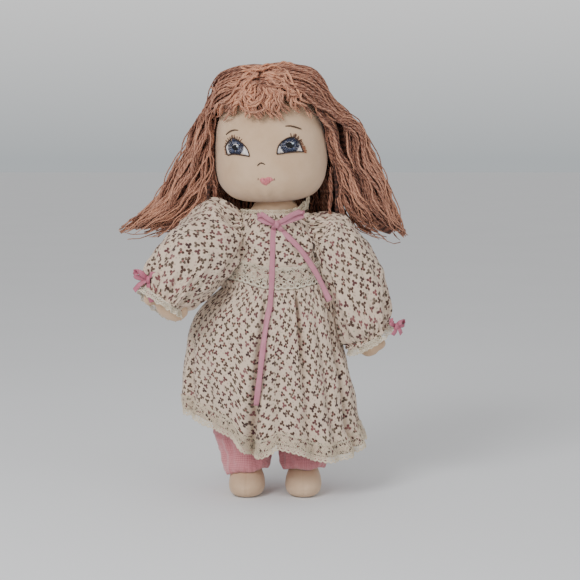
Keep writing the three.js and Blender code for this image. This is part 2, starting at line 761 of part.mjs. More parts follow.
function trims() {
  const yokeTop = YOKE_LACE.bottom + YOKE_LACE.height;
  const band = bodiceBand(YOKE_LACE.bottom, yokeTop, CLEARANCE, LACE);
  const half = new THREE.Vector3(YOKE_LACE.width / 2, 0, BODICE.height);
  const frontHalf = blockBetween(new THREE.Vector3(-half.x, -OVERRUN, 0), half);
  const backHalf = frontHalf.clone().rotateZ(Math.PI);
  piece('yoke_lace_front', common(band, frontHalf), creamLace, bodiceGroup);
  piece('yoke_lace_back', common(band, backHalf), creamLace, bodiceGroup);

  const [, neckWide, neckDeep] = BODICE_SHARES[BODICE_SHARES.length - 1];
  const collar = {
    width: neckWide * BODICE.width + 2 * NECK_LACE.flare,
    depth: neckDeep * BODICE.depth + 2 * NECK_LACE.flare,
    height: NECK_LACE.height,
  };
  const flareWide = (neckWide * BODICE.width) / collar.width;
  const flareDeep = (neckDeep * BODICE.depth) / collar.depth;
  const collarShares = [
    [0, flareWide, flareDeep],
    [0.5, (1 + flareWide) / 2, (1 + flareDeep) / 2],
    [1, 1, 1],
  ];
  const collarTube = tubeForm(collar, collarShares, SIDES.garment, LACE);
  collarTube.translate(0, 0, BODICE.height + 2 * CLEARANCE);
  piece('neck_lace', collarTube, creamLace, bodiceGroup);

  const strip = new THREE.Shape();
  const bottom = PLACKET.bottom - BODICE.bottom;
  strip.moveTo(-PLACKET.width / 2, bottom);
  strip.lineTo(PLACKET.width / 2, bottom);
  strip.lineTo(PLACKET.width / 2, bottom + PLACKET.height);
  strip.lineTo(-PLACKET.width / 2, bottom + PLACKET.height);
  strip.closePath();
  const plackets = cut(bodiceSolid(PLACKET.standOff + CALICO), [bodiceSolid(PLACKET.standOff)]);
  const placketBlock = frontBlock(strip, 0, OVERRUN).rotateZ(Math.PI);
  piece('back_placket', common(plackets, placketBlock), calico, bodiceGroup);

  SNAP.heights.forEach((height, i) => {
    const disc = new THREE.CylinderGeometry(SNAP.diameter / 2, SNAP.diameter / 2, OVERRUN, SIDES.lock);
    disc.translate(0, OVERRUN / 2, height - BODICE.bottom);
    const layer = cut(bodiceSolid(CLEARANCE + SNAP.thickness), [bodiceSolid(CLEARANCE)]);
    piece(`dress_snap_${i + 1}`, common(layer, disc), snapMetal, bodiceGroup);
  });

  for (const side of Object.keys(sideSigns)) {
    const group = armGroups[side];
    const width = 2 * sleeveRadius('width');
    const depth = 2 * sleeveRadius('depth');
    const ruffle = {
      width: width + 2 * CUFF_LACE.flare,
      depth: depth + 2 * CUFF_LACE.flare,
      height: CUFF_LACE.length,
    };
    const shares = [
      [0, 1, 1],
      [0.5, (1 + width / ruffle.width) / 2, (1 + depth / ruffle.depth) / 2],
      [1, width / ruffle.width, depth / ruffle.depth],
    ];
    const lace = tubeForm(ruffle, shares, SIDES.sleeve, LACE);
    lace.translate(0, 0, -(SLEEVE.cuff + CLEARANCE + CUFF_LACE.length));
    piece(`cuff_lace_${side}`, lace, creamLace, group);
    const inside = CALICO + 3 * CLEARANCE;
    const band = elasticBand(width / 2 - inside, depth / 2 - inside, SIDES.sleeve);
    band.translate(0, 0, -SLEEVE.cuff);
    piece(`cuff_elastic_${side}`, band, elastic, group);
  }
}

// The flat outline of a bow, with two open loops; tails hang where asked.
function bowOutline(loop, tails) {
  const knot = loop / 6;
  const outline = new THREE.Shape();
  outline.moveTo(knot, knot);
  outline.bezierCurveTo(loop / 2, loop * 0.8, loop * 1.2, loop * 0.7, loop, 0);
  outline.bezierCurveTo(loop * 0.9, -loop * 0.35, loop / 2, -loop * 0.2, knot, -knot);
  if (tails) {
    outline.lineTo(loop * 0.75, -loop * 1.3);
    outline.lineTo(loop * 0.35, -loop * 1.4);
    outline.lineTo(0, -knot);
    outline.lineTo(-loop * 0.4, -loop * 1.5);
    outline.lineTo(-loop * 0.8, -loop * 1.35);
  }
  outline.lineTo(-knot, -knot);
  outline.bezierCurveTo(-loop / 2, -loop * 0.2, -loop * 0.9, -loop * 0.35, -loop, 0);
  outline.bezierCurveTo(-loop * 1.2, loop * 0.7, -loop / 2, loop * 0.8, -knot, knot);
  outline.closePath();
  return outline;
}

function bow(name, size, tails, group) {
  const outline = bowOutline(size.loop, tails);
  const options = { depth: size.thickness, bevelEnabled: false, curveSegments: 5 };
  const geometry = new THREE.ExtrudeGeometry(outline, options).rotateX(Math.PI / 2);
  return piece(name, geometry, pinkSatin, group);
}

// A strip, or a lock of hair, along points: its width lies across the route and its depth runs back.
function alongRoute(stations, sides) {
  const rings = stations.map(({ point, wide, deep }, i) => {
    const before = stations[Math.max(i - 1, 0)].point;
    const after = stations[Math.min(i + 1, stations.length - 1)].point;
    const across = new THREE.Vector3(after.z - before.z, 0, before.x - after.x).normalize();
    const back = new THREE.Vector3().crossVectors(across, after.clone().sub(before)).normalize();
    const ring = [];
    for (let k = 0; k < sides; k += 1) {
      const angle = (k / sides) * Math.PI * 2;
      const place = point.clone().addScaledVector(across, wide * Math.cos(angle));
      ring.push(place.addScaledVector(back, deep * Math.sin(angle)));
    }
    return ring;
  });
  const first = stations[0].point.clone();
  const last = stations[stations.length - 1].point.clone();
  return skin([[first], ...rings, [last]]);
}

function ribbons() {
  bow('neck_bow', NECK_BOW, false, groupAt(NECK_BOW.x, NECK_BOW.y, NECK_BOW.height));
  const tails = { ribbon_tail_long: TAIL_LONG, ribbon_tail_short: TAIL_SHORT };
  for (const [name, points] of Object.entries(tails)) {
    const stations = points.map(([x, y, z]) => ({
      point: new THREE.Vector3(x, y, z),
      wide: RIBBON.width / 2,
      deep: RIBBON.thickness / 2,
    }));
    piece(name, alongRoute(stations, SIDES.ribbon), pinkSatin);
  }
  for (const [side, sign] of Object.entries(sideSigns)) {
    const cuffBow = bow(`cuff_bow_${side}`, CUFF_BOW, true, armGroups[side]);
    const aside = THREE.MathUtils.degToRad(sign * CUFF_BOW.aside);
    const standOff = sleevePuff() + CLEARANCE;
    cuffBow.rotation.z = aside;
    const outward = new THREE.Vector3(Math.sin(aside), -Math.cos(aside), 0);
    cuffBow.position.copy(outward).multiplyScalar(standOff);
    cuffBow.position.z = CUFF_BOW.above - SLEEVE.cuff;
  }
}

function lockStations(lock, grow) {
  return lock.map(([x, y, z, wide, deep]) => ({
    point: new THREE.Vector3(x, y, z),
    wide: wide + grow,
    deep: deep + grow,
  }));
}

function hair() {
  const overScalp = (grow) => cut(headSolid(grow), [headSolid(2 * CLEARANCE)]);
  const nape = blockBetween(
    new THREE.Vector3(-OVERRUN, -OVERRUN, -OVERRUN),
    new THREE.Vector3(OVERRUN, OVERRUN, HAIR.napeHeight),
  );
  const front = blockBetween(
    new THREE.Vector3(-OVERRUN, -OVERRUN - HEAD.depth, -OVERRUN),
    new THREE.Vector3(OVERRUN, -HAIR.parting, HEAD.height + OVERRUN),
  );
  piece('hair_crown', cut(overScalp(HAIR.thickness), [nape, front]), peachYarn, headGroup);

  const tuft = FRINGE.width / FRINGE.tufts;
  const outline = new THREE.Shape();
  outline.moveTo(-FRINGE.width / 2, HEAD.height + OVERRUN);
  outline.lineTo(-FRINGE.width / 2, HAIR.hairline);
  for (let i = 0; i < FRINGE.tufts; i += 1) {
    const start = i * tuft - FRINGE.width / 2;
    const tip = HAIR.hairline - 2 * FRINGE.tuftDrop;
    outline.quadraticCurveTo(start + tuft / 2, tip, start + tuft, HAIR.hairline);
  }
  outline.lineTo(FRINGE.width / 2, HEAD.height + OVERRUN);
  outline.closePath();
  const fringeBlock = frontBlock(outline, HAIR.parting + CLEARANCE, OVERRUN, 3);
  piece('hair_fringe', common(overScalp(FRINGE.thickness), fringeBlock), peachYarn, headGroup);

  const scalp = inFrame(headSolid(HAIR.thickness + CLEARANCE), headGroup, doll);
  const forehead = inFrame(common(headSolid(FRINGE.thickness + CLEARANCE), front), headGroup, doll);
  const sleeveForms = Object.values(armGroups).map((group) =>
    inFrame(armForm(SLEEVE, SLEEVE_SHARES, SIDES.sleeve, CLEARANCE), group, doll),
  );
  const bodyForm = inFrame(bodiceSolid(PLACKET.standOff + CALICO + CLEARANCE), bodiceGroup, doll);
  const grownLocks = [];
  for (const [name, lock] of Object.entries(LOCKS)) {
    const lockForm = (grow) => alongRoute(lockStations(lock, grow), SIDES.lock);
    grownLocks.push(lockForm(CLEARANCE));
    piece(name, cut(lockForm(0), [scalp, forehead, bodyForm, ...sleeveForms]), peachYarn);
  }
  const rise = OVERRUN + HAIR.napeHeight - CLEARANCE;
  const drop = HEAD.bottom + HAIR.napeHeight + CURTAIN.thickness - CURTAIN.bottom;
  const curtain = tubeForm({ ...CURTAIN, height: drop }, CURTAIN_SHARES, SIDES.head, CURTAIN.thickness);
  curtain.translate(HEAD.x, HEAD.y, CURTAIN.bottom);
  const headBlocks = [headSolid(2 * CLEARANCE), front, nape.clone().translate(0, 0, rise)];
  const headCutters = headBlocks.map((block) => inFrame(block, headGroup, doll));
  piece('hair_back', cut(curtain, [...headCutters, bodyForm, ...sleeveForms, ...grownLocks]), peachYarn);
}

torso();
neck();
head();
face();
arms();
legs();
pantaloons();
dress();
trims();
ribbons();
hair();

export default part;
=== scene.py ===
# A cloth doll's looks: muslin body, yarn hair, embroidered face, calico dress with lace and ribbon, knit pantaloons.
# Sizes in the tables are millimetres in the doll's own frame, whose upright axis stands at BODY_AXIS.
# The doll faces -Y, and left and right are the doll's own: its left is +X.
import math

import bpy
import numpy as np
from bpy.props import FloatProperty, FloatVectorProperty, IntProperty, PointerProperty
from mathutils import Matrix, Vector


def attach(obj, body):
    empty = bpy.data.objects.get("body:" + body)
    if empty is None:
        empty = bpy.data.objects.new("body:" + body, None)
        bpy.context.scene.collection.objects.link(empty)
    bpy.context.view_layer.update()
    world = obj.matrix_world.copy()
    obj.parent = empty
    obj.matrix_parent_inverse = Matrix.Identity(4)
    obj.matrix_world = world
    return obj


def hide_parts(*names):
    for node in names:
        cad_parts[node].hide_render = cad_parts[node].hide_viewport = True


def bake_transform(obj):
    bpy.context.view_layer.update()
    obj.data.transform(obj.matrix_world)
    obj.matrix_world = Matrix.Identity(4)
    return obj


bl_info = {
    "name": "Cloth doll",
    "version": (1, 0, 0),
    "blender": (4, 5, 0),
    "location": "View3D > Sidebar > Cloth doll",
    "description": "Dresses the packed parts of a cloth doll in muslin, yarn, calico, lace and ribbon",
    "category": "Object",
}

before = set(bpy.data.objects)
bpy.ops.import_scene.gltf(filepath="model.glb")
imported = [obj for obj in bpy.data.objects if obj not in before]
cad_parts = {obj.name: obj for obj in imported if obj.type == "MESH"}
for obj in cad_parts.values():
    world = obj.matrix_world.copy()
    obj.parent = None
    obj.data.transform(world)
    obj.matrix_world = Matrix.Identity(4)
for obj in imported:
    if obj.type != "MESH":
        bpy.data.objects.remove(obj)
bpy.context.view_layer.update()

MM = 0.001
BODY_AXIS = np.array([10.5, 9.0, 0.0])
TURN = 2 * math.pi
LEG_X = 23.8

# The head: its place, its turn and tilt in degrees, and rows of height, half width and half depth.
HEAD_PLACE = np.array([-2.0, -1.0, 245.0])
HEAD_TURN = -12
HEAD_TILT = -2
HEAD_ROWS = np.array([
    [0, 0, 0], [0.6, 12, 11], [1.8, 21.5, 20], [5, 31.5, 30.5], [11.5, 39.8, 37.8], [21, 44.8, 41.2],
    [33, 46.6, 42], [47, 46.2, 41.9], [63, 44, 40.2], [77, 39.8, 36.4], [89, 33.2, 30.4],
    [98, 23.6, 21.8], [103.4, 13.4, 12.4], [105.5, 0, 0],
])

# Arms, from the shoulder to the hand.
SIGNS = {"left": 1, "right": -1}
SHOULDERS = {side: np.array([sign * 46.0, 0, 224.0]) for side, sign in SIGNS.items()}
ARM_DIRECTIONS = {"left": (0.34, -0.08, -0.94), "right": (-0.455, -0.55, -0.7)}

# The dress, in rows of height, half width and half depth.
BODICE_ROWS = np.array([
    [174.2, 43.5, 32], [190.5, 42.6, 31], [206.7, 42.6, 30.1], [222.3, 40, 27.5], [232.7, 31.3, 24.3],
    [239.2, 24.8, 21.1],
])
SKIRT_TOP = 173.8
SKIRT_RIGHT = [[27, 77.5], [44, 75.5], [61, 69], [85, 65], [111, 61.5], [125, 57.5], [145, 54], [160, 51], [174, 45.5]]
SKIRT_LEFT = [[40, 75.5], [60, 75], [80, 75.5], [100, 76], [130, 74], [150, 67], [165, 54], [174, 44]]
SKIRT_DEEP = [[27, 51.5], [44, 51], [85, 47.5], [120, 43.5], [150, 39], [174, 32.5]]
# Round the hem, by degrees from the front towards the doll's left: the height of the lace's lowest points.
HEM_HEIGHTS = [
    [-180, 44], [-130, 58], [-90, 68], [-70, 67], [-46, 60], [-27, 54], [-19, 42], [-12, 37], [-1.5, 42],
    [1.5, 45], [8, 43.5], [18, 39.5], [26, 34.5], [39, 32.5], [63, 36], [90, 44], [130, 42], [180, 44],
]
# Folds: degrees round the hem, degrees round the yoke, depth at the hem, and half breadth in degrees.
FOLDS = [
    [-165, -160, 6, 10], [-132, -126, 7, 10], [-100, -96, 7, 9], [-70, -66, 7.5, 6.5], [-44, -52, 4, 7],
    [-15, -7.5, 14, 3.8], [3, 6, 3.5, 4.5], [26, 22, 7, 5], [46, 40, 5.5, 5.5], [64, 58, 9, 5], [86, 84, 7, 8],
    [112, 108, 7, 9], [140, 136, 7, 9], [170, 165, 6.5, 10],
]
LACE_BELOW = 5.0
# The seam under the yoke is sewn higher at the doll's right: degrees round, and millimetres above the skirt's top.
YOKE_RISE = [
    [-180, 0], [-120, 1], [-85, 7], [-60, 8], [-42, 6.5], [-24, 3.5], [-12, 1.2], [2, 0.3], [20, 0.5], [40, 3], [62, 5],
    [90, 3], [130, 0], [180, 0],
]
# Where cloth passes from the body to the lap, from the upper place to the lower.
HIP_FOLD = ((0, 0, 125), (0, 0, 98))


def rng(seed):
    return np.random.default_rng(seed)


def linear(text):
    """An sRGB hex colour as linear red, green, blue and alpha."""
    values = [int(text[i:i + 2], 16) / 255 for i in (1, 3, 5)]
    return tuple(v / 12.92 if v <= 0.04045 else ((v + 0.055) / 1.055) ** 2.4 for v in values) + (1.0,)


def unit(vectors):
    return vectors / np.maximum(np.linalg.norm(vectors, axis=-1, keepdims=True), 1e-9)


def distances(points):
    """How far along a path each of its points lies."""
    return np.concatenate([[0], np.cumsum(np.linalg.norm(np.diff(points, axis=0), axis=1))])


def wrapped(angle):
    """An angle in degrees, brought between -180 and 180."""
    return (angle + 180) % 360 - 180


def swollen(points, swell):
    """An upright form's points with its width and depth made so many times as large."""
    return points * np.stack([swell, swell, np.ones_like(swell)], -1)


def pushed_out(points, lift):
    """An upright form's points moved out from its axis."""
    return points + unit(points * [1, 1, 0]) * lift[..., None]


def smooth(rows, at):
    """Values of a table at places along its first column, on a smooth curve that keeps its highs and lows."""
    rows = np.asarray(rows, float)
    places, values = rows[:, 0], rows[:, 1:]
    steps = np.maximum(np.diff(places), 1e-9)[:, None]
    slopes = np.diff(values, axis=0) / steps
    bends = np.zeros_like(values)
    bends[0], bends[-1] = slopes[0], slopes[-1]
    same = slopes[:-1] * slopes[1:] > 0
    both = np.where(same, slopes[:-1] + slopes[1:], 1)
    bends[1:-1] = np.where(same, 2 * slopes[:-1] * slopes[1:] / both, 0)
    at = np.clip(np.asarray(at, float), places[0], places[-1])
    low = np.clip(np.searchsorted(places, at, side="right") - 1, 0, len(places) - 2)
    span = steps[low]
    t = ((at - places[low])[..., None]) / span
    return (
        (2 * t ** 3 - 3 * t ** 2 + 1) * values[low] + (t ** 3 - 2 * t ** 2 + t) * span * bends[low]
        + (3 * t ** 2 - 2 * t ** 3) * values[low + 1] + (t ** 3 - t ** 2) * span * bends[low + 1]
    )


def wander(points, size, seed, waves=7):
    """A smooth random swell of about one unit over points, its lumps about as broad as size."""
    points = np.asarray(points, float)
    random = rng(seed)
    ways = unit(random.normal(size=(waves, points.shape[-1])))
    ways *= TURN / size * random.uniform(0.55, 1.4, (waves, 1))
    return np.sin(points @ ways.T + random.uniform(0, TURN, waves)).sum(-1) / math.sqrt(waves / 2)


def ease(low, high, value):
    t = np.clip((value - low) / (high - low), 0, 1)
    return t * t * (3 - 2 * t)


def turned(degrees, axis):
    c, s = math.cos(math.radians(degrees)), math.sin(math.radians(degrees))
    if axis == "y":
        return np.array([[c, 0, s], [0, 1, 0], [-s, 0, c]])
    return np.array([[c, -s, 0], [s, c, 0], [0, 0, 1]])


HEAD_FRAME = turned(HEAD_TILT, "y") @ turned(HEAD_TURN, "z")


def head_to_doll(points):
    return np.asarray(points, float) @ HEAD_FRAME.T + HEAD_PLACE


def arm_to_doll(points, side):
    way = Vector(ARM_DIRECTIONS[side]).normalized()
    swing = np.array(Vector((0, 0, -1)).rotation_difference(way).to_matrix())
    return np.asarray(points, float) @ swing.T + SHOULDERS[side]


def to_part(points):
    return (np.asarray(points, float) + BODY_AXIS) * MM


def source(value):
    """The first output of a node; anything else as it is."""
    return value.outputs[0] if isinstance(value, bpy.types.Node) else value


def add_node(tree, kind, links=None, **settings):
    """Adds a node with its settings, each input given a value or joined to another node's output."""
    node = tree.nodes.new("ShaderNode" + kind)
    for setting, value in settings.items():
        setattr(node, setting, value)
    for name, value in (links or {}).items():
        value = source(value)
        if isinstance(value, bpy.types.NodeSocket):
            tree.links.new(value, node.inputs[name])
        else:
            node.inputs[name].default_value = value
    return node


def new_material(name, colour, roughness, sheen=0.0, specular=0.25):
    """A material with its even qualities set, its node tree and the place on the object."""
    material = bpy.data.materials.new(name)
    material.use_nodes = True
    material.diffuse_color = colour
    shader = material.node_tree.nodes["Principled BSDF"]
    for quality, value in (
        ("Base Color", colour), ("Roughness", roughness), ("IOR", 1.47), ("Specular IOR Level", specular),
        ("Sheen Weight", sheen), ("Sheen Roughness", 0.5),
    ):
        shader.inputs[quality].default_value = value
    tree = material.node_tree
    return material, tree, add_node(tree, "TexCoord").outputs["Object"]


def surfaced(material, colour, height=None, strength=0.0, depth=0.0):
    """The material with its colour, and its relief from a height: how strong, and how deep in metres."""
    tree = material.node_tree
    shader = tree.nodes["Principled BSDF"]
    tree.links.new(source(colour), shader.inputs["Base Color"])
    if height:
        bump = add_node(tree, "Bump", {"Height": height, "Strength": strength, "Distance": depth})
        tree.links.new(bump.outputs["Normal"], shader.inputs["Normal"])
    return material


def muslin(settings):
    """Bleached cotton muslin, stretched over filling: matt, a fine even weave, faint uneven skin tone."""
    material, tree, place = new_material("plain_muslin", settings.muslin_colour, 0.88, 0.25)
    cloud = add_node(tree, "TexNoise", {"Vector": place, "Scale": 38.0, "Detail": 3.0, "Roughness": 0.6})
    tone = add_node(tree, "ValToRGB", {"Fac": cloud})
    dark, light = tone.color_ramp.elements
    dark.position, dark.color = 0.3, linear("#c2a283")
    light.position, light.color = 0.72, settings.muslin_colour
    # Muslin has a thread about each 0.4 mm; it is drawn at 0.9 mm so that it shows.
    grain = add_node(tree, "TexVoronoi", {"Vector": place, "Scale": 1100.0, "Randomness": 0.4})
    lumps = add_node(tree, "TexNoise", {"Vector": place, "Scale": 260.0, "Detail": 4.0})
    height = add_node(tree, "Math", {0: grain, 1: lumps}, operation="ADD")
    return surfaced(material, tone, height, 0.22, 0.0004)


def yarn(settings):
    """Plied wool-like yarn, brushed: two soft plies turned round each other, each strand its own tone."""
    material, tree, place = new_material("plied_yarn", settings.yarn_colour, 0.85, 0.12)
    parts = add_node(tree, "SeparateXYZ", {0: add_node(tree, "UVMap")})
    # The plies make one turn in about 5 mm.
    around = add_node(tree, "Math", {0: parts, 1: 2 * TURN}, operation="MULTIPLY")
    both = add_node(tree, "Math", {0: parts.outputs["Y"], 1: TURN / 5.0, 2: around}, operation="MULTIPLY_ADD")
    ply = add_node(tree, "Math", {0: both}, operation="SINE")
    strand = add_node(tree, "Attribute", attribute_name="strand").outputs["Fac"]
    fibres = add_node(tree, "TexNoise", {"Vector": place, "Scale": 700.0, "Detail": 3.0})
    # The tone follows the relief: painted shade in the groove between the plies, with the fibres' own uneven tone.
    level = add_node(tree, "Math", {0: ply, 1: 0.16, 2: strand}, operation="MULTIPLY_ADD")
    spread = add_node(tree, "Math", {0: fibres, 1: 0.36, 2: -0.18}, operation="MULTIPLY_ADD")
    level = add_node(tree, "Math", {0: level, 1: spread}, operation="ADD")
    # The long locks are brushed out and paler towards their ends.
    tips = add_node(tree, "MapRange", {
        "Value": parts.outputs["Y"], "From Min": 100.0, "From Max": 170.0, "To Max": 0.12})
    level = add_node(tree, "Math", {0: level, 1: tips}, operation="ADD")
    shade = add_node(tree, "ValToRGB", {"Fac": level})
    low, high = shade.color_ramp.elements
    low.color, high.color = linear("#37241f"), linear("#db9d7b")
    for position, colour in ((0.3, linear("#714638")), (0.62, settings.yarn_colour)):
        shade.color_ramp.elements.new(position).color = colour
    height = add_node(tree, "Math", {0: ply, 1: fibres}, operation="ADD")
    return surfaced(material, shade, height, 0.6, 0.0003)


def calico(settings):
    """Printed cotton calico: small scattered three-leaf sprigs in brown and maroon on cream, plain weave."""
    material, tree, place = new_material("printed_calico", settings.calico_colour, 0.9, 0.15)
    uv = add_node(tree, "UVMap")
    pitch = settings.print_pitch
    # The sprigs stand in slanting rows.
    slanted = add_node(tree, "VectorRotate", {"Vector": uv, "Angle": math.radians(33)}, rotation_type="Z_AXIS")
    cells = add_node(tree, "TexVoronoi", {"Vector": slanted, "Scale": 1 / pitch, "Randomness": 0.52},
                     voronoi_dimensions="2D")
    off = add_node(tree, "VectorMath", {0: slanted, 1: cells.outputs["Position"]}, operation="SUBTRACT")
    local = add_node(tree, "SeparateXYZ", {0: off})
    lot = add_node(tree, "SeparateColor", {0: cells.outputs["Color"]})
    angle = add_node(tree, "Math", {0: local.outputs["Y"], 1: local}, operation="ARCTAN2")
    leaf = add_node(tree, "Math", {0: lot, 1: TURN, 2: angle}, operation="MULTIPLY_ADD")
    for operation, value in (("MULTIPLY", 1.5), ("COSINE", 0.0), ("ABSOLUTE", 0.0), ("POWER", 0.9)):
        leaf = add_node(tree, "Math", {0: leaf, 1: value}, operation=operation)
    reach = add_node(tree, "Math", {0: leaf, 1: 1.8, 2: 0.62}, operation="MULTIPLY_ADD")
    far = add_node(tree, "VectorMath", {0: off}, operation="LENGTH").outputs["Value"]
    inside = add_node(tree, "Math", {0: reach, 1: far}, operation="SUBTRACT")
    sprig = add_node(tree, "MapRange", {"Value": inside, "From Min": -0.12, "From Max": 0.16})
    ink = add_node(tree, "ValToRGB", {"Fac": lot.outputs[1]})
    ink.color_ramp.interpolation = "CONSTANT"
    first, second = ink.color_ramp.elements
    first.color = linear("#4b352e")
    second.position, second.color = 0.4, linear("#5a393a")
    for position, colour in ((0.58, "#57493e"), (0.76, "#74484b"), (0.85, "#43302f")):
        ink.color_ramp.elements.new(position).color = linear(colour)
    # A few cells also hold a small pink bud at the sprig's heart.
    heart = add_node(tree, "MapRange", {"Value": far, "From Min": 0.75, "From Max": 0.5})
    bud = add_node(tree, "Math", {0: lot.outputs[2], 1: 0.7}, operation="GREATER_THAN")
    bud = add_node(tree, "Math", {0: bud, 1: heart}, operation="MULTIPLY")
    inked = add_node(tree, "Mix", {0: bud, 6: ink, 7: linear("#935f5a")}, data_type="RGBA").outputs[2]
    fade = add_node(tree, "TexNoise", {"Vector": place, "Scale": 420.0, "Detail": 2.0})
    strength = add_node(tree, "MapRange", {"Value": fade, "From Min": 0.2, "From Max": 0.5, "To Min": 0.62})
    amount = add_node(tree, "Math", {0: sprig, 1: strength}, operation="MULTIPLY")
    # Between the sprigs lie small stray marks, some green and some pink.
    specks = add_node(tree, "TexVoronoi", {"Vector": uv, "Scale": 1 / (pitch * 0.55), "Randomness": 1.0},
                      voronoi_dimensions="2D")
    speck = add_node(tree, "MapRange", {"Value": specks, "From Min": 0.24, "From Max": 0.1, "To Max": 0.6})
    tint = add_node(tree, "SeparateColor", {0: specks.outputs["Color"]})
    tint = add_node(tree, "Mix", {0: tint, 6: linear("#7f8f72"), 7: linear("#b0737a")}, data_type="RGBA").outputs[2]
    ground = add_node(tree, "Mix", {0: speck, 6: settings.calico_colour, 7: tint}, data_type="RGBA").outputs[2]
    shade = add_node(tree, "Mix", {0: amount, 6: ground, 7: inked}, data_type="RGBA").outputs[2]
    # Calico has about 25 threads to a centimetre; the weave is drawn at 0.9 mm so that it shows.
    waves = add_node(tree, "VectorMath", {0: uv, "Scale": math.pi / 0.9}, operation="SCALE")
    waves = add_node(tree, "VectorMath", {0: waves}, operation="SINE")
    waves = add_node(tree, "SeparateXYZ", {0: waves})
    weave = add_node(tree, "Math", {0: waves, 1: waves.outputs["Y"]}, operation="MULTIPLY")
    lumps = add_node(tree, "TexNoise", {"Vector": place, "Scale": 160.0, "Detail": 5.0, "Roughness": 0.65})
    height = add_node(tree, "Math", {0: weave, 1: 0.25, 2: lumps}, operation="MULTIPLY_ADD")
    return surfaced(material, shade, height, 0.3, 0.0007)


def lace_cotton(name, colour):
    """Cotton lace thread: matt and slightly fuzzy, a little uneven where it has yellowed."""
    material, tree, place = new_material(name, colour, 0.85, 0.2)
    cloud = add_node(tree, "TexNoise", {"Vector": place, "Scale": 90.0, "Detail": 3.0})
    yellowed = add_node(tree, "MapRange", {"Value": cloud, "From Min": 0.45, "From Max": 0.8, "To Max": 0.55})
    tone = add_node(tree, "Mix", {0: yellowed, 6: colour, 7: linear("#b9a88a")}, data_type="RGBA")
    twist = add_node(tree, "TexNoise", {"Vector": place, "Scale": 1500.0})
    return surfaced(material, tone.outputs[2], twist, 0.4, 0.0002)


def pink_knit(settings):
    """Cotton jersey, washed soft: fine upright wales of looped stitches with a light nap."""
    material, tree, place = new_material("pink_jersey", settings.knit_colour, 0.92, 0.45)
    parts = add_node(tree, "SeparateXYZ", {0: add_node(tree, "UVMap")})
    # Jersey has a wale about each 0.8 mm; it is drawn at 1.7 mm so that it shows.
    wale = add_node(tree, "Math", {0: parts, 1: TURN / 1.7}, operation="MULTIPLY")
    slant = wale
    for operation, value in (("SINE", 0.0), ("ABSOLUTE", 0.0), ("MULTIPLY", 1.6)):
        slant = add_node(tree, "Math", {0: slant, 1: value}, operation=operation)
    course = add_node(tree, "Math", {0: parts.outputs["Y"], 1: TURN / 1.4, 2: slant}, operation="MULTIPLY_ADD")
    loops = add_node(tree, "Math", {0: course}, operation="SINE")
    ribs = add_node(tree, "Math", {0: wale}, operation="COSINE")
    stitch = add_node(tree, "Math", {0: ribs, 1: 0.6, 2: loops}, operation="MULTIPLY_ADD")
    nap = add_node(tree, "TexNoise", {"Vector": place, "Scale": 450.0, "Detail": 5.0, "Roughness": 0.7})
    height = add_node(tree, "Math", {0: nap, 1: 2.2, 2: stitch}, operation="MULTIPLY_ADD")
    # The colour follows the relief: painted shade in the hollows between the loops, with the nap's own uneven tone.
    level = add_node(tree, "MapRange", {"Value": height, "From Min": -0.6, "From Max": 3.0})
    tone = add_node(tree, "Mix", {0: level, 6: linear("#b96b72"), 7: settings.knit_colour}, data_type="RGBA")
    return surfaced(material, tone.outputs[2], height, 0.45, 0.0004)


def ribbon_satin(name, colour, dark):
    """Polyester satin ribbon: smooth and softly glossy, with fine ribs across its length."""
    material, tree, place = new_material(name, colour, 0.42, 0.1, 0.5)
    parts = add_node(tree, "SeparateXYZ", {0: add_node(tree, "UVMap")})
    # The cross ribs are about 0.3 mm apart; they are drawn at 0.8 mm so that they show.
    ribs = add_node(tree, "Math", {0: parts.outputs["Y"], 1: TURN / 0.8}, operation="MULTIPLY")
    ribs = add_node(tree, "Math", {0: ribs}, operation="SINE")
    cloud = add_node(tree, "TexNoise", {"Vector": place, "Scale": 160.0, "Detail": 3.0})
    tone = add_node(tree, "Mix", {0: cloud, 6: colour, 7: dark}, data_type="RGBA")
    height = add_node(tree, "Math", {0: cloud, 1: 3.0, 2: ribs}, operation="MULTIPLY_ADD")
    return surfaced(material, tone.outputs[2], height, 0.25, 0.0002)


def embroidery_floss(name, colour):
    """Mercerised cotton floss: flat satin stitches with a soft shine along each thread, own tint per stitch."""
    material, tree, place = new_material(name, colour, 0.55, 0.05, 0.3)
    tint = add_node(tree, "Attribute", attribute_name="tint")
    fibres = add_node(tree, "TexNoise", {"Vector": place, "Scale": 1800.0, "Detail": 2.0})
    soft = add_node(tree, "MapRange", {"Value": fibres, "To Min": 0.75, "To Max": 1.2})
    shade = add_node(tree, "VectorMath", {0: tint, "Scale": soft}, operation="SCALE")
    return surfaced(material, shade, fibres, 0.3, 0.0002)


def snap_metal():
    """Nickel-plated pressed steel of a sew-on snap: bright, a little brushed and worn."""
    material, tree, place = new_material("nickel_plate", linear("#b9bbbb"), 0.3)
    shader = tree.nodes["Principled BSDF"]
    shader.inputs["Metallic"].default_value = 1.0
    shader.inputs["IOR"].default_value = 1.5
    wear = add_node(tree, "TexNoise", {"Vector": place, "Scale": 900.0, "Detail": 4.0})
    rough = add_node(tree, "MapRange", {"Value": wear, "To Min": 0.22, "To Max": 0.45})
    tree.links.new(source(rough), shader.inputs["Roughness"])
    return material


def backdrop_paper(settings):
    """Matt seamless paper, pale grey with the faintest mottling."""
    material, tree, place = new_material("backdrop_paper", settings.backdrop_colour, 0.95)
    cloud = add_node(tree, "TexNoise", {"Vector": place, "Scale": 3.0, "Detail": 2.0})
    tone = add_node(tree, "Mix", {0: cloud, 6: settings.backdrop_colour, 7: linear("#e5e7ea")}, data_type="RGBA")
    return surfaced(material, tone.outputs[2])


def deselect():
    if bpy.context.object and bpy.context.object.mode != "OBJECT":
        bpy.ops.object.mode_set(mode="OBJECT")
    bpy.ops.object.select_all(action="DESELECT")


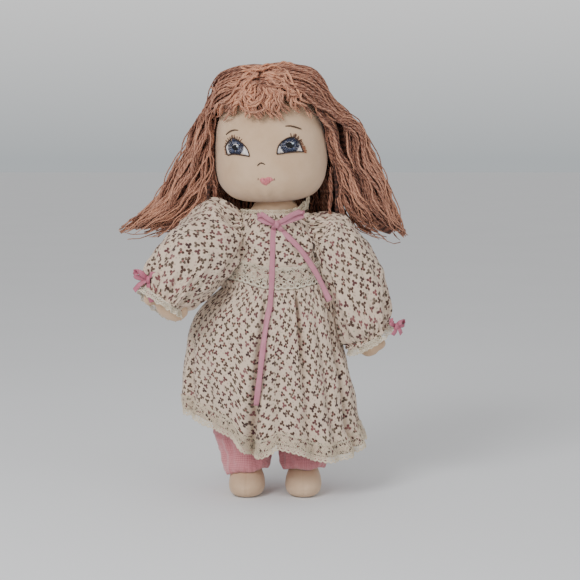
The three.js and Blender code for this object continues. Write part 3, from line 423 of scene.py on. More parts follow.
def shaped_grid(name, columns, rows, place, flat, material, closed=False, thickness=0.0, offset=-1.0):
    """A sheet shaped from a grid: place gives its points for shares across and along, flat its size laid out."""
    deselect()
    bpy.ops.mesh.primitive_grid_add(x_subdivisions=columns, y_subdivisions=rows, size=2, calc_uvs=True)
    piece = bpy.context.object
    piece.name = name
    mesh = piece.data
    mesh.name = name
    corners = np.empty(len(mesh.vertices) * 3)
    mesh.vertices.foreach_get("co", corners)
    across, along = (corners[0::3] + 1) / 2, (corners[1::3] + 1) / 2
    mesh.vertices.foreach_set("co", to_part(place(across, along)).ravel())
    used = np.empty(len(mesh.loops), int)
    mesh.loops.foreach_get("vertex_index", used)
    laid = np.column_stack([across[used] * flat[0], along[used] * flat[1]])
    mesh.uv_layers[0].name = "UVMap"
    mesh.uv_layers[0].data.foreach_set("uv", laid.ravel())
    mesh.update()
    bpy.ops.object.mode_set(mode="EDIT")
    bpy.ops.mesh.select_all(action="SELECT")
    if closed:
        bpy.ops.mesh.remove_doubles(threshold=0.000004)
        bpy.ops.mesh.dissolve_degenerate(threshold=0.000001)
    bpy.ops.mesh.normals_make_consistent(inside=False)
    bpy.ops.object.mode_set(mode="OBJECT")
    if thickness:
        wall = piece.modifiers.new("wall", "SOLIDIFY")
        wall.thickness = thickness * MM
        wall.offset = offset
        bpy.ops.object.modifier_apply(modifier="wall")
    bpy.ops.object.shade_smooth()
    piece.data.materials.append(material_for(material))
    return piece


def profile(rows, share):
    """Values down a form, at a share of the way along its outline."""
    rows = np.asarray(rows, float)
    steps = np.hypot(np.diff(rows[:, 0]), np.diff(rows[:, 1]))
    along = np.concatenate([[0], np.cumsum(steps)])
    return smooth(np.column_stack([along, rows]), np.asarray(share) * along[-1])


def round_point(row, around, power=2.0):
    """Points of an oval: height, half width, half depth, and the centre across and back if given."""
    c, s = np.cos(TURN * around), np.sin(TURN * around)
    c, s = np.sign(c) * np.abs(c) ** (2 / power), np.sign(s) * np.abs(s) ** (2 / power)
    x = row[..., 1] * s
    y = -row[..., 2] * c
    if row.shape[-1] > 3:
        y = y + row[..., 3]
    return np.stack([x, y, row[..., 0]], -1)


class Threads:
    """Threads gathered into one mesh: closed round or flat tubes laid along paths, with their own tints."""

    def __init__(self):
        self.points, self.quads, self.fans, self.quad_uvs, self.fan_uvs = [], [], [], [], []
        self.strands, self.tints, self.count = [], [], 0

    def lay(self, paths, wide, deep=None, sides=5, across=None, strand=0.5, tint=(1, 1, 1)):
        paths = np.asarray(paths, float)
        if paths.ndim == 2:
            paths = paths[None]
        many, steps = paths.shape[:2]
        wide = np.broadcast_to(wide, (many, steps))
        deep = wide if deep is None else np.broadcast_to(deep, (many, steps))
        ways = unit(np.gradient(paths, axis=1))
        if across is None:
            start = np.where(np.abs(ways[:, 0, 2:3]) < 0.9, [[0.0, 0.0, 1.0]], [[1.0, 0.0, 0.0]])
            first = np.empty_like(ways)
            first[:, 0] = unit(np.cross(ways[:, 0], start))
            for i in range(1, steps):
                last = first[:, i - 1]
                first[:, i] = unit(last - (last * ways[:, i]).sum(-1, keepdims=True) * ways[:, i])
        else:
            first = np.broadcast_to(across, ways.shape)
            first = unit(first - (first * ways).sum(-1, keepdims=True) * ways)
        second = np.cross(ways, first)
        angles = np.arange(sides) / sides * TURN
        rings = (
            paths[:, :, None] + (wide[..., None] * np.cos(angles))[..., None] * first[:, :, None]
            + (deep[..., None] * np.sin(angles))[..., None] * second[:, :, None]
        )
        body = rings.reshape(many, steps * sides, 3)
        points = np.concatenate([body, paths[:, :1], paths[:, -1:]], 1)
        size = points.shape[1]
        i, k = np.meshgrid(np.arange(steps - 1), np.arange(sides), indexing="ij")
        after = (k + 1) % sides
        quads = np.stack([i * sides + k, i * sides + after, (i + 1) * sides + after, (i + 1) * sides + k], -1)
        quads = quads.reshape(-1, 4)
        ks = np.arange(sides)
        end = (steps - 1) * sides
        fans = np.concatenate([
            np.stack([(ks + 1) % sides, ks, np.full(sides, steps * sides)], -1),
            np.stack([end + ks, end + (ks + 1) % sides, np.full(sides, steps * sides + 1)], -1),
        ])
        bases = self.count + np.arange(many) * size
        self.points.append(points.reshape(-1, 3))
        self.quads.append((quads[None] + bases[:, None, None]).reshape(-1, 4))
        self.fans.append((fans[None] + bases[:, None, None]).reshape(-1, 3))
        lengths = np.pad(np.cumsum(np.linalg.norm(np.diff(paths, axis=1), axis=-1), 1), ((0, 0), (1, 0)))
        us = np.stack([k, k + 1, k + 1, k], -1).reshape(-1, 4) / sides
        vs = lengths[:, np.stack([i, i, i + 1, i + 1], -1).reshape(-1, 4)]
        self.quad_uvs.append(np.stack([np.broadcast_to(us, vs.shape), vs], -1).reshape(-1, 2))
        ends = np.zeros((many, 2, sides, 3, 2))
        ends[..., 0] = 0.5
        ends[:, 1, ..., 1] = lengths[:, -1, None, None]
        self.fan_uvs.append(ends.reshape(-1, 2))
        self.strands.append(np.repeat(np.broadcast_to(strand, (many,)), size))
        tint = np.broadcast_to(np.asarray(tint, float)[..., :3], (many, 3))
        self.tints.append(np.repeat(tint, size, axis=0))
        self.count += many * size

    def piece(self, name, material, *riding):
        """Makes the threads one piece of a finish. riding is its body, slot and nodes, if it rides on one body."""
        points = np.concatenate(self.points)
        quads, fans = np.concatenate(self.quads), np.concatenate(self.fans)
        mesh = bpy.data.meshes.new(name)
        mesh.from_pydata(to_part(points), [], quads.tolist() + fans.tolist())
        layer = mesh.uv_layers.new(name="UVMap")
        layer.data.foreach_set("uv", np.concatenate(self.quad_uvs + self.fan_uvs).ravel())
        mesh.attributes.new("strand", "FLOAT", "POINT").data.foreach_set("value", np.concatenate(self.strands))
        tints = np.column_stack([np.concatenate(self.tints), np.ones(self.count)])
        mesh.attributes.new("tint", "FLOAT_COLOR", "POINT").data.foreach_set("color", tints.ravel())
        mesh.polygons.foreach_set("use_smooth", np.ones(len(mesh.polygons), bool))
        mesh.update()
        mesh.materials.append(material_for(material))
        piece = bpy.data.objects.new(name, mesh)
        bpy.context.scene.collection.objects.link(piece)
        if riding:
            finish(piece, *riding)
        return piece


def finish(piece, body, slot, *nodes):
    """Makes a piece ride on a body and stand for its nodes; its slot is not used."""
    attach(piece, body)
    if nodes:
        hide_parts(*nodes)


def finish_bent(piece, bodies, start, end, slot, *nodes):
    """Stands a piece for its nodes and bakes its place into its points; its bodies, places and slot are not used."""
    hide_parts(*nodes)
    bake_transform(piece)


# Shapes shared by several pieces.

def head_point(across, height, lift=0.0):
    """A point on the front of the head, in the head's own frame."""
    across, height = np.asarray(across, float), np.asarray(height, float)
    size = smooth(HEAD_ROWS, height)
    wide, deep = size[..., 0], size[..., 1]
    share = np.clip(1 - (across / np.maximum(wide, 1)) ** 2, 0.02, 1)
    y = -deep * np.sqrt(share)
    out = np.stack([across / np.maximum(wide, 1) ** 2, y / np.maximum(deep, 1) ** 2, 0 * y], -1)
    return np.stack([across, y, height], -1) + unit(out) * np.asarray(lift)[..., None]


def bodice_point(angle, height, lift=0.0):
    """A point on the bodice at an angle in degrees from its front, pushed out by lift."""
    size = smooth(BODICE_ROWS, height)
    a = np.radians(angle)
    wide, deep = size[..., 0] + lift, size[..., 1] + lift
    return np.stack([wide * np.sin(a), -deep * np.cos(a), np.broadcast_to(height, np.shape(a))], -1)


def outside(points, size, level, least):
    """Moves points inside an upright form out to its half sizes, where level says that it stands."""
    share = np.sqrt((points[..., 0] / size[..., 0]) ** 2 + (points[..., 1] / size[..., 1]) ** 2)
    return swollen(points, np.where((share < 1) & level, 1 / np.maximum(share, least), 1))


def outside_bodice(points, gap):
    """Moves points that lie inside the bodice out to its surface and a gap."""
    height = points[..., 2]
    size = smooth(BODICE_ROWS, height) + np.asarray(gap)[..., None]
    return outside(points, size, (height > BODICE_ROWS[0, 0] - 8) & (height < BODICE_ROWS[-1, 0] + 1), 0.2)


def skirt_point(angle, drop, lift=0.0):
    """A point on the skirt: degrees round from the front, and a share of the fall from yoke to hem."""
    angle = wrapped(np.asarray(angle, float))
    bottom = smooth(HEM_HEIGHTS, angle)[..., 0] + LACE_BELOW
    top = SKIRT_TOP + smooth(YOKE_RISE, angle)[..., 0]
    height = top + (bottom - top) * drop
    level = np.clip(height, 28, 174)
    a = np.radians(angle)
    sideways = ease(-0.5, 0.5, np.sin(a))
    left = smooth(SKIRT_LEFT, level)[..., 0]
    right = smooth(SKIRT_RIGHT, level)[..., 0]
    wide = left + (right - left) * sideways
    deep = smooth(SKIRT_DEEP, level)[..., 0]
    pushed = np.zeros_like(height)
    share = np.clip(drop, 0, 1.15)
    for at_hem, at_top, depth, breadth in FOLDS:
        middle = at_top + (at_hem - at_top) * share
        gap = wrapped(angle - middle)
        spread = breadth * (0.55 + 0.45 * share)
        grown = depth * (0.22 + 0.78 * ease(0, 0.9, share)) * ease(-0.02, 0.1, share)
        pushed += grown * (0.26 * np.exp(-(gap / (spread * 2.1)) ** 2) - np.exp(-np.abs(gap / spread) ** 1.6))
    ring = np.stack([np.sin(a) * 60, -np.cos(a) * 60, height * 0.5], -1)
    pushed += 1.1 * wander(ring, 34, 11) * ease(0.05, 0.5, share) + 0.5 * wander(ring, 13, 12) * share
    gathers = np.sin(np.radians(angle) * 46 + 1.4 * wander(ring * [1, 1, 0.2], 22, 13))
    pushed += 0.62 * gathers * (1 - ease(0.02, 0.26, share)) + 0.6
    # The panel left of the deep front fold laps over the one beside it, and lower down it swings out.
    edge = -10.5 - 8 * share ** 1.3
    lap = ease(edge - 17, edge - 1, angle) * (1 - ease(edge, edge + 2.6, angle))
    pushed += lap * (2.6 * ease(0.02, 0.2, share) + 2.2 * ease(0.3, 1, share))
    # Left of the middle a pleat opens under the yoke, its edge towards the middle sharp.
    off = angle - 21.5
    slit = np.exp(-(off / np.where(off < 0, 1.3, 1.6 + 9 * share)) ** 2)
    pushed -= 6.5 * slit * ease(0.01, 0.1, share) * (1 - ease(0.3, 0.66, share))
    pushed += lift
    flat_out = unit(np.stack([np.sin(a) / wide, -np.cos(a) / deep], -1))
    x = wide * np.sin(a) + pushed * flat_out[..., 0]
    y = -deep * np.cos(a) + pushed * flat_out[..., 1]
    return np.stack([x, y, height], -1)


# How a sleeve lies, by its share from armhole to cuff: the turn of its rings from the armhole's upright plane to
# the arm, distance along the arm, then how far it stands out on the outer side, inner side, front and back.
SLEEVE_ROWS = {
    "right": [
        [0.0, 0.0, -19, 12.5, 29, 20, 21], [0.07, 0.04, -12, 18, 29, 21, 22], [0.13, 0.22, -4, 24, 30, 23, 24],
        [0.22, 0.55, 0, 28.5, 31, 25, 26], [0.36, 1.0, 10, 30, 33, 26, 26], [0.5, 1.0, 28, 31, 32, 27, 26],
        [0.65, 1.0, 47, 33, 27.5, 27, 26], [0.8, 1.0, 65, 33, 20, 25, 24], [0.9, 1.0, 76, 29.5, 14.5, 21, 20],
        [0.955, 1.0, 81.5, 25.5, 12.5, 17, 16.5], [1.0, 1.0, 84.5, 25.5, 12.5, 17, 16.5],
    ],
    "left": [
        [0.0, 0.0, -19, 10, 29, 20, 21], [0.07, 0.04, -12, 10.5, 29, 21, 22], [0.13, 0.22, -4, 11.5, 30, 23, 24],
        [0.22, 0.55, 0, 14, 31, 25, 26], [0.36, 1.0, 10, 21, 30, 26, 26], [0.5, 1.0, 30, 28, 27, 27, 26],
        [0.65, 1.0, 50, 31, 23, 27, 26], [0.8, 1.0, 70, 28, 23.5, 25, 24], [0.9, 1.0, 83, 23.5, 23, 21, 20],
        [0.955, 1.0, 89.5, 19.5, 20, 17, 17], [1.0, 1.0, 92.5, 19.5, 20, 17, 17],
    ],
}


# Creases down the sleeves: share round, where each starts and ends, its depth, and its breadth as a share round.
SLEEVE_CREASES = {
    "right": [(0.385, 0.06, 0.72, 4.2, 0.022), (0.2, 0.0, 0.3, 2.4, 0.018), (0.12, 0.55, 1.0, 2.6, 0.02)],
    "left": [(0.36, 0.08, 0.9, 5.0, 0.024), (0.22, 0.0, 0.34, 2.6, 0.018), (0.17, 0.5, 0.97, 2.6, 0.02)],
}


def sleeve_point(side, around, along, lift=0.0):
    """A point on a sleeve: a share round it from its outer edge over the front, and a share down it."""
    sign = SIGNS[side]
    row = smooth(SLEEVE_ROWS[side], along)
    turn, far = row[..., 0:1], row[..., 1:2]
    way = unit(np.array(ARM_DIRECTIONS[side], float))
    outward = unit(np.array([sign * -way[2], 0, sign * way[0]]))
    side_way = np.array([sign, 0.0, 0.0])
    middle = unit(side_way * (1 - turn) + way * turn)
    outer = unit(np.array([0, 0, 1.0]) * (1 - turn) + outward * turn)
    outer = unit(outer - (outer * middle).sum(-1, keepdims=True) * middle)
    front = np.cross(middle, outer) * -sign
    front = front * np.where(front[..., 1:2] > 0, -1, 1)
    start = SHOULDERS[side]
    a = TURN * np.asarray(around)
    c, s = np.cos(a), np.sin(a)
    # The cuffs slant: the left one hangs lower at its inner side, and both hang over the hand in front.
    slant = (7.5 * (1 - c) / 2 + 4 * np.maximum(s, 0)) if side == "left" else 9.5 * np.maximum(s, 0)
    far = far + (slant * ease(0.6, 1, along))[..., None]
    reach_out = np.where(c > 0, row[..., 2], row[..., 3]) + lift
    reach_side = np.where(s > 0, row[..., 4], row[..., 5]) + lift
    return start + middle * far + outer * (c * reach_out)[..., None] + front * (s * reach_side)[..., None]


def sleeve_cloth(side, around, along):
    """The sleeve with its cap gathers, cuff gathers and soft folds, kept clear of the bodice."""
    seed = 30 if side == "left" else 50
    ring = np.stack([np.cos(TURN * around) * 28, np.sin(TURN * around) * 28, along * 100], -1)
    gathers = np.sin(TURN * around * 26 + 1.2 * wander(ring, 30, seed))
    coarse = np.sin(TURN * around * 11 + 1.6 * wander(ring, 40, seed + 1))
    cap = 1 - ease(0.0, 0.3, along)
    cuff = ease(0.62, 0.93, along)
    lift = 1.1 * gathers * (cap + cuff * (1 - 0.4 * ease(0.95, 1, along))) + 1.6 * coarse * cuff
    lift += 1.0 * coarse * cap
    lift += 1.9 * wander(ring * [1, 1, 0.45], 30, seed + 2) * ease(0.1, 0.4, along) * (1 - 0.6 * cuff)
    lift += 0.7 * wander(ring, 14, seed + 3)
    lift -= 1.5 * np.exp(-((along - 0.955) / 0.012) ** 2)
    for at, top, bottom, depth, breadth in SLEEVE_CREASES[side]:
        off = (around - at - 0.05 * (along - 0.5) + 0.5) % 1 - 0.5
        run = ease(top, top + 0.12, along) * (1 - ease(bottom - 0.14, bottom, along))
        lift += depth * run * (0.45 * np.exp(-((off + breadth * 1.3) / (breadth * 1.5)) ** 2)
                               - np.exp(-np.abs(off / breadth) ** 1.6))
    points = sleeve_point(side, around, along, lift)
    return outside_bodice(points, 1.2 + 0.6 * np.abs(wander(ring, 12, seed + 4)))


def skirt_length(drop, count=1440):
    """Angles round the skirt and the length of the cloth's edge up to each, at a share of the fall."""
    angles = np.linspace(-180, 180, count)
    return angles, distances(skirt_point(angles, np.full(count, drop)))


def lay_lace(threads, place, length, bands, seed, thick, endless=True):
    """Lays lace as threads. place turns millimetres along and down into points; bands name what runs where."""
    random = rng(seed)

    def lay(along, down, wide):
        along, down = np.atleast_2d(*np.broadcast_arrays(along, down))
        threads.lay(place(along, down), wide * random.uniform(0.85, 1.15, (len(along), 1)), sides=4)

    def spaced(pitch):
        """How often a figure fits along the lace, and the middle of each."""
        count = max(int(round(length / pitch)), 1)
        return count, (np.arange(count) + 0.5)[:, None] * length / count

    for kind, *sizes in bands:
        if kind == "cord":
            down, wide = sizes
            along = np.linspace(0, length, max(int(length / 1.3), 8))
            lay(along, down + 0.12 * np.sin(along * 2.1), wide)
        elif kind == "net":
            top, bottom, gap = sizes
            count = max(int(round(length / gap)), 2)
            starts = np.arange(count) * length / count
            t = np.linspace(0, 1, 7)
            for way in (1, -1):
                along = starts[:, None] + way * t * (bottom - top) * 0.85
                along = along + 0.12 * random.normal(size=along.shape)
                lay(along if endless else np.clip(along, 0, length), top + t * (bottom - top), thick)
        elif kind == "scallops":
            top, depth, pitch, wide = sizes
            count = spaced(pitch)[0]
            along = np.linspace(0, length, count * 14 + 1)
            lay(along, top + depth * np.abs(np.sin(math.pi * along * count / length)) ** 0.7, wide)
            centres = spaced(1.7)[1]
            level = top + depth * np.abs(np.sin(math.pi * centres * count / length)) ** 0.7
            turn = np.linspace(-0.5, math.pi + 0.5, 6)
            lay(centres + 0.75 * np.cos(turn), level + 0.9 * np.sin(turn), thick * 0.9)
        else:
            down, radius, pitch, wide = sizes
            petals = kind == "petals"
            turn = np.linspace(0, TURN, 29 if petals else 13)
            reach = radius * (0.45 + 0.55 * np.abs(np.cos(2.5 * turn))) if petals else radius
            lay(spaced(pitch)[1] + reach * np.cos(turn), down + reach * np.sin(turn), wide)


def colour_setting(name, description, colour):
    return FloatVectorProperty(
        name=name, description=description, subtype="COLOR", size=4, min=0, max=1, default=linear(colour))


class DollSettings(bpy.types.PropertyGroup):
    """The doll's colours, sizes and numbers of strands"""
    muslin_colour: colour_setting("Muslin", "Colour of the muslin body", "#d0b396")
    yarn_colour: colour_setting("Yarn", "Middle colour of the yarn hair", "#b17f69")
    calico_colour: colour_setting("Calico", "Ground colour of the printed calico", "#d1bda9")
    lace_colour: colour_setting("Lace", "Colour of the cream lace", "#e4d6be")
    knit_colour: colour_setting("Jersey", "Colour of the pantaloons", "#e1979c")
    ribbon_colour: colour_setting("Ribbon", "Colour of the satin ribbon", "#c28290")
    backdrop_colour: colour_setting("Backdrop", "Colour of the floor", "#eaecef")
    print_pitch: FloatProperty(
        name="Print pitch", description="Millimetres between the sprigs of the print", default=5.8, min=2, max=20)
    yarn_thickness: FloatProperty(
        name="Yarn thickness", description="Diameter of a strand of hair", subtype="DISTANCE", unit="LENGTH",
        default=0.0018, min=0.0005, max=0.004)
    side_strands: IntProperty(
        name="Side strands", description="Strands of yarn in each side's mass of hair", default=330, min=20, max=600)
    back_strands: IntProperty(
        name="Back strands", description="Strands of yarn down the back of the head", default=330, min=20, max=600)
    fringe_strands: IntProperty(
        name="Fringe strands", description="Strands of yarn over the forehead", default=140, min=10, max=400)
    ribbon_width: FloatProperty(
        name="Ribbon width", description="Width of the satin ribbon", subtype="DISTANCE", unit="LENGTH",
        default=0.005, min=0.002, max=0.02)
    camera_distance: FloatProperty(
        name="Camera distance", description="From the camera to the middle of the doll", subtype="DISTANCE",
        unit="LENGTH", default=1.25, min=0.5, max=4)
    camera_rise: FloatProperty(
        name="Camera rise", description="How far the camera looks down", subtype="ANGLE", unit="ROTATION",
        default=math.radians(5), min=0, max=1)


def material_for(name):
    """The named finish, made when it is first asked for."""
    settings = bpy.context.scene.cloth_doll
    finishes = {
        "plain_muslin": (muslin, settings),
        "plied_yarn": (yarn, settings),
        "printed_calico": (calico, settings),
        "cream_lace_cotton": (lace_cotton, "cream_lace_cotton", settings.lace_colour),
        "ivory_lace_cotton": (lace_cotton, "ivory_lace_cotton", linear("#ddd3bf")),
        "pink_jersey": (pink_knit, settings),
        "pale_satin": (ribbon_satin, "pale_satin", settings.ribbon_colour, linear("#ab667b")),
        "rose_satin": (ribbon_satin, "rose_satin", linear("#c4778a"), linear("#a04c63")),
        "white_floss": (embroidery_floss, "white_floss", linear("#dedbd8")),
        "blue_floss": (embroidery_floss, "blue_floss", linear("#5a6aa0")),
        "brown_floss": (embroidery_floss, "brown_floss", linear("#4a352b")),
        "pink_floss": (embroidery_floss, "pink_floss", linear("#cf8088")),
        "nickel_plate": (snap_metal,),
        "backdrop_paper": (backdrop_paper, settings),
    }
    maker, *needs = finishes[name]
    return bpy.data.materials.get(name) or maker(*needs)


# The stage, in metres: the places that the camera and the lamps look at, and the lamps.
CAMERA_TARGET = (0.023, 0.0, 0.1724)
LAMP_TARGET = (0.01, 0, 0.18)
LAMPS = (("key_lamp", (-0.66, -1.12, 1.0), 0.6, 15.5), ("side_lamp", (0.95, -1.0, 0.55), 1.0, 3.6))


class CLOTHDOLL_OT_stage(bpy.types.Operator):
    """Sets up the camera, the soft lamps, the pale floor and the even grey that is seen above it"""
    bl_idname = "clothdoll.stage"
    bl_label = "Stage"

    def execute(self, context):
        settings = context.scene.cloth_doll
        rise = settings.camera_rise
        camera = bpy.data.objects.new("camera", bpy.data.cameras.new("camera"))
        context.scene.collection.objects.link(camera)
        camera.data.sensor_width = 36
        camera.data.lens = 93.15
        away = Vector((0, -math.cos(rise), math.sin(rise)))
        camera.location = Vector(CAMERA_TARGET) + settings.camera_distance * away
        camera.rotation_euler = (math.pi / 2 - rise, 0, 0)
        context.scene.camera = camera

        deselect()
        bpy.ops.mesh.primitive_plane_add(size=60)
        floor = context.object
        floor.name = "floor"
        floor.data.materials.append(material_for("backdrop_paper"))

        for name, place, size, power in LAMPS:
            lamp = bpy.data.lights.new(name, "AREA")
            lamp.size = size
            lamp.energy = power
            holder = bpy.data.objects.new(name, lamp)
            context.scene.collection.objects.link(holder)
            holder.location = place
            holder.rotation_euler = (Vector(LAMP_TARGET) - Vector(place)).to_track_quat("-Z", "Y").to_euler()
        world = bpy.data.worlds.new("soft_room")
        world.use_nodes = True
        tree = world.node_tree
        light = tree.nodes["Background"]
        light.inputs["Color"].default_value = (1.0, 0.99, 0.98, 1.0)
        light.inputs["Strength"].default_value = 0.66
        # What the camera sees above the floor: the floor's own grey at the horizon, paler higher up.
        upward = add_node(tree, "SeparateXYZ", {0: add_node(tree, "TexCoord").outputs["Generated"]}).outputs["Z"]
        sky = add_node(tree, "ValToRGB", {"Fac": upward})
        horizon, higher = sky.color_ramp.elements
        horizon.color = linear("#bcc1c4")
        higher.position, higher.color = 0.11, linear("#f2f2f2")
        sky = add_node(tree, "Background", {"Color": sky, "Strength": 1.0})
        seen = add_node(tree, "LightPath").outputs["Is Camera Ray"]
        mixed = add_node(tree, "MixShader", {0: seen, 1: light, 2: sky})
        tree.links.new(source(mixed), tree.nodes["World Output"].inputs["Surface"])
        context.scene.world = world
        return {"FINISHED"}


TAIL_LONG = [
    (-1, -27.9, 224.4), (-1.5, -30.2, 212), (-2, -32.5, 195), (-2.5, -33.8, 180), (-3.5, -37.6, 165),
    (-6.5, -41.6, 150), (-9, -44.9, 132), (-11, -47.3, 115), (-13, -49.3, 98), (-15, -50.4, 82),
]
TAIL_SHORT = [
    (6, -27.6, 222.4), (14, -28.6, 215), (22, -28.4, 206), (29, -27.4, 196), (35, -27, 186), (40, -27.5, 176),
    (45, -29, 165),
]


class CLOTHDOLL_OT_ribbon_tails(bpy.types.Operator):
    """Hangs the two free ends of the neck ribbon, which are limp flat cords"""
    bl_idname = "clothdoll.ribbon_tails"
    bl_label = "Ribbon tails"

    def execute(self, context):
        settings = context.scene.cloth_doll
        wide = settings.ribbon_width / MM / 2
        for name, route in (("ribbon_tail_long", TAIL_LONG), ("ribbon_tail_short", TAIL_SHORT)):
            along = distances(route)
            at = np.linspace(0, along[-1], 60)
            path = smooth(np.column_stack([along, route]), at)
            twist = np.radians(16 * np.sin(at / 19.0) + 10 * np.sin(at / 7.7 + 1))[:, None]
            ways = unit(np.gradient(path, axis=0))
            flat = unit(np.cross(ways, [0.0, 1.0, 0.0]))
            across = flat * np.cos(twist) + np.cross(flat, ways) * np.sin(twist)
            threads = Threads()
            threads.lay(path, wide * (0.93 + 0.06 * np.sin(at / 5.0)), 0.32, sides=8, across=across)
            tail = threads.piece(name, "pale_satin")
            if name == "ribbon_tail_long":
                finish_bent(tail, ("torso", "lap"), *HIP_FOLD, "pink_satin", name)
            else:
                finish(tail, "torso", "pink_satin", name)
        return {"FINISHED"}


TORSO_ROWS = [
    [110.2, 0, 0], [110.2, 33.5, 0.4], [113, 35.4, 3], [120, 35.8, 7.8], [132, 35.8, 16.6], [147, 35.1, 21.9],
    [172, 33, 21.9], [197, 34, 21.4], [214, 35.7, 19.6], [226.5, 30.8, 17.3], [233.8, 19.6, 16.6], [233.8, 0, 0],
]
NECK_ROWS = [
    [234.5, 0, 0], [234.5, 20.6, 17.2], [240, 19.9, 16.5], [245, 16.6, 13.8], [249, 10.4, 8.6], [251.5, 0, 0],
]


def torso_shape(around, along):
    points = round_point(profile(TORSO_ROWS, along), around, 2.1)
    seam = np.exp(-((np.abs(np.sin(TURN * around)) - 1) / 0.0009) ** 2)
    swell = 1 - 0.012 * seam + 0.006 * wander(points, 26, 3) * ease(0.1, 0.3, along)
    return swollen(points, swell)


def neck_shape(around, along):
    points = round_point(profile(NECK_ROWS, along), around)
    return swollen(points, 1 + 0.018 * wander(points * [1, 1, 2.2], 12, 5))


class CLOTHDOLL_OT_body(bpy.types.Operator):
    """Makes the filled muslin torso and neck, with side seams and soft puckers"""
    bl_idname = "clothdoll.body"
    bl_label = "Torso and neck"

    def execute(self, context):
        piece = shaped_grid("torso_form", 96, 90, torso_shape, (210, 150), "plain_muslin", closed=True)
        finish(piece, "torso", "muslin", "torso_cover", "torso_stuffing")

        piece = shaped_grid("neck_form", 72, 40, neck_shape, (120, 40), "plain_muslin", closed=True)
        finish(piece, "neck", "muslin", "neck_cover", "neck_stuffing")
        return {"FINISHED"}


def head_shape(around, along):
    points = round_point(profile(HEAD_ROWS, along), around)
    height = points[..., 2]
    angle = TURN * around
    pucker = np.sin(angle * 17 + 1.3 * np.sin(angle * 3)) * np.exp(-((height - 4) / 5.5) ** 2)
    pucker *= ease(0.3, 2.5, height)
    swell = 1 + 0.042 * pucker * (0.7 + 0.5 * np.sin(angle * 5 + 1)) + 0.004 * wander(points, 30, 7)
    return head_to_doll(swollen(points, swell))


class CLOTHDOLL_OT_head(bpy.types.Operator):
    """Makes the filled muslin head, gathered under the chin"""
    bl_idname = "clothdoll.head"
    bl_label = "Head"

    def execute(self, context):
        piece = shaped_grid("head_form", 160, 120, head_shape, (270, 150), "plain_muslin", closed=True)
        finish(piece, "head", "muslin", "head_cover", "head_stuffing")
        return {"FINISHED"}


# The face, in millimetres across and up the front of the head.
EYES = {
    "right": {
        "outline": [
            (-27.9, 40.5), (-22.7, 41.1), (-16.1, 40.3), (-10.9, 39.4), (-8.3, 38.8), (-9.1, 42.5), (-10.7, 45.7),
            (-12.9, 48.4), (-16.4, 51.1), (-20.0, 53.1), (-22.7, 53.9), (-25.6, 52.6), (-28.2, 50.0),
            (-29.6, 47.4), (-29.4, 44.3), (-28.9, 41.6),
        ],
        "iris": (-20.4, 46.7), "across": 7.9, "up": 7.3, "pupil": (-20.6, 46.3), "pupil_size": 2.9,
        "light": (-18.4, 47.1), "lashes": (8, 16),
        "brow": [(-29.6, 57.2), (-26.8, 58.9), (-23.9, 60.1), (-21.1, 60.5), (-17.8, 60.2)],
    },
    "left": {
        "outline": [
            (14.0, 39.9), (16.7, 40.0), (21.2, 40.6), (26.0, 41.0), (30.7, 41.1), (33.4, 41.0), (32.5, 43.1),
            (31.7, 46.3), (30.6, 48.9), (29.0, 51.0), (27.1, 52.7), (25.2, 53.0), (22.9, 52.6), (20.0, 51.1),
            (17.4, 49.1), (15.4, 46.3), (14.4, 43.2),
        ],
        "iris": (23.6, 46.8), "across": 7.6, "up": 7.3, "pupil": (23.8, 46.6), "pupil_size": 3.1,
        "light": (26.0, 48.0), "lashes": (5, 12),
        "brow": [(20.7, 62.1), (23.9, 62.1), (26.9, 61.5), (29.7, 60.4), (32.2, 59.3)],
    },
}
NOSE = [(-2.0, 30.8), (-0.6, 32.3), (1.3, 33.2), (3.1, 32.6), (4.4, 31.8)]
LIPS = [
    (-0.8, 20.2), (2.0, 21.6), (3.6, 20.8), (5.7, 22.0), (8.3, 21.6), (10.2, 19.6), (7.2, 16.8), (3.6, 14.6),
    (0.4, 17.0),
]
MOUTH_CORNERS = [(-2.2, 20.3), (10.9, 19.7)]


def stitch_on_head(threads, starts, ends, half, lift, tint):
    """Lays straight stitches on the head, dipping into the cloth at both ends."""
    starts, ends = np.asarray(starts, float), np.asarray(ends, float)
    t = np.linspace(0, 1, 6)
    flat = starts[:, None] + (ends - starts)[:, None] * t[None, :, None]
    rise = lift - (lift + 0.25) * np.abs(2 * t - 1) ** 6
    paths = head_to_doll(head_point(flat[..., 0], flat[..., 1], np.broadcast_to(rise, flat.shape[:2])))
    threads.lay(paths, half, half * 0.8, tint=tint)


def across_outline(outline, way, gap):
    """Both ends of parallel stitches that fill an outline."""
    outline, way = np.asarray(outline, float), unit(np.asarray(way, float))
    side = np.array([-way[1], way[0]])
    levels, reach = outline @ side, outline @ way
    starts, ends = [], []
    for level in np.arange(levels.min() + gap / 2, levels.max(), gap):
        crossings = []
        for i in range(len(outline)):
            j = (i + 1) % len(outline)
            if (levels[i] - level) * (levels[j] - level) < 0:
                share = (level - levels[i]) / (levels[j] - levels[i])
                crossings.append(reach[i] + (reach[j] - reach[i]) * share)
        crossings.sort()
        for low, high in zip(crossings[::2], crossings[1::2]):
            starts.append(side * level + way * low)
            ends.append(side * level + way * high)
    return np.array(starts), np.array(ends)


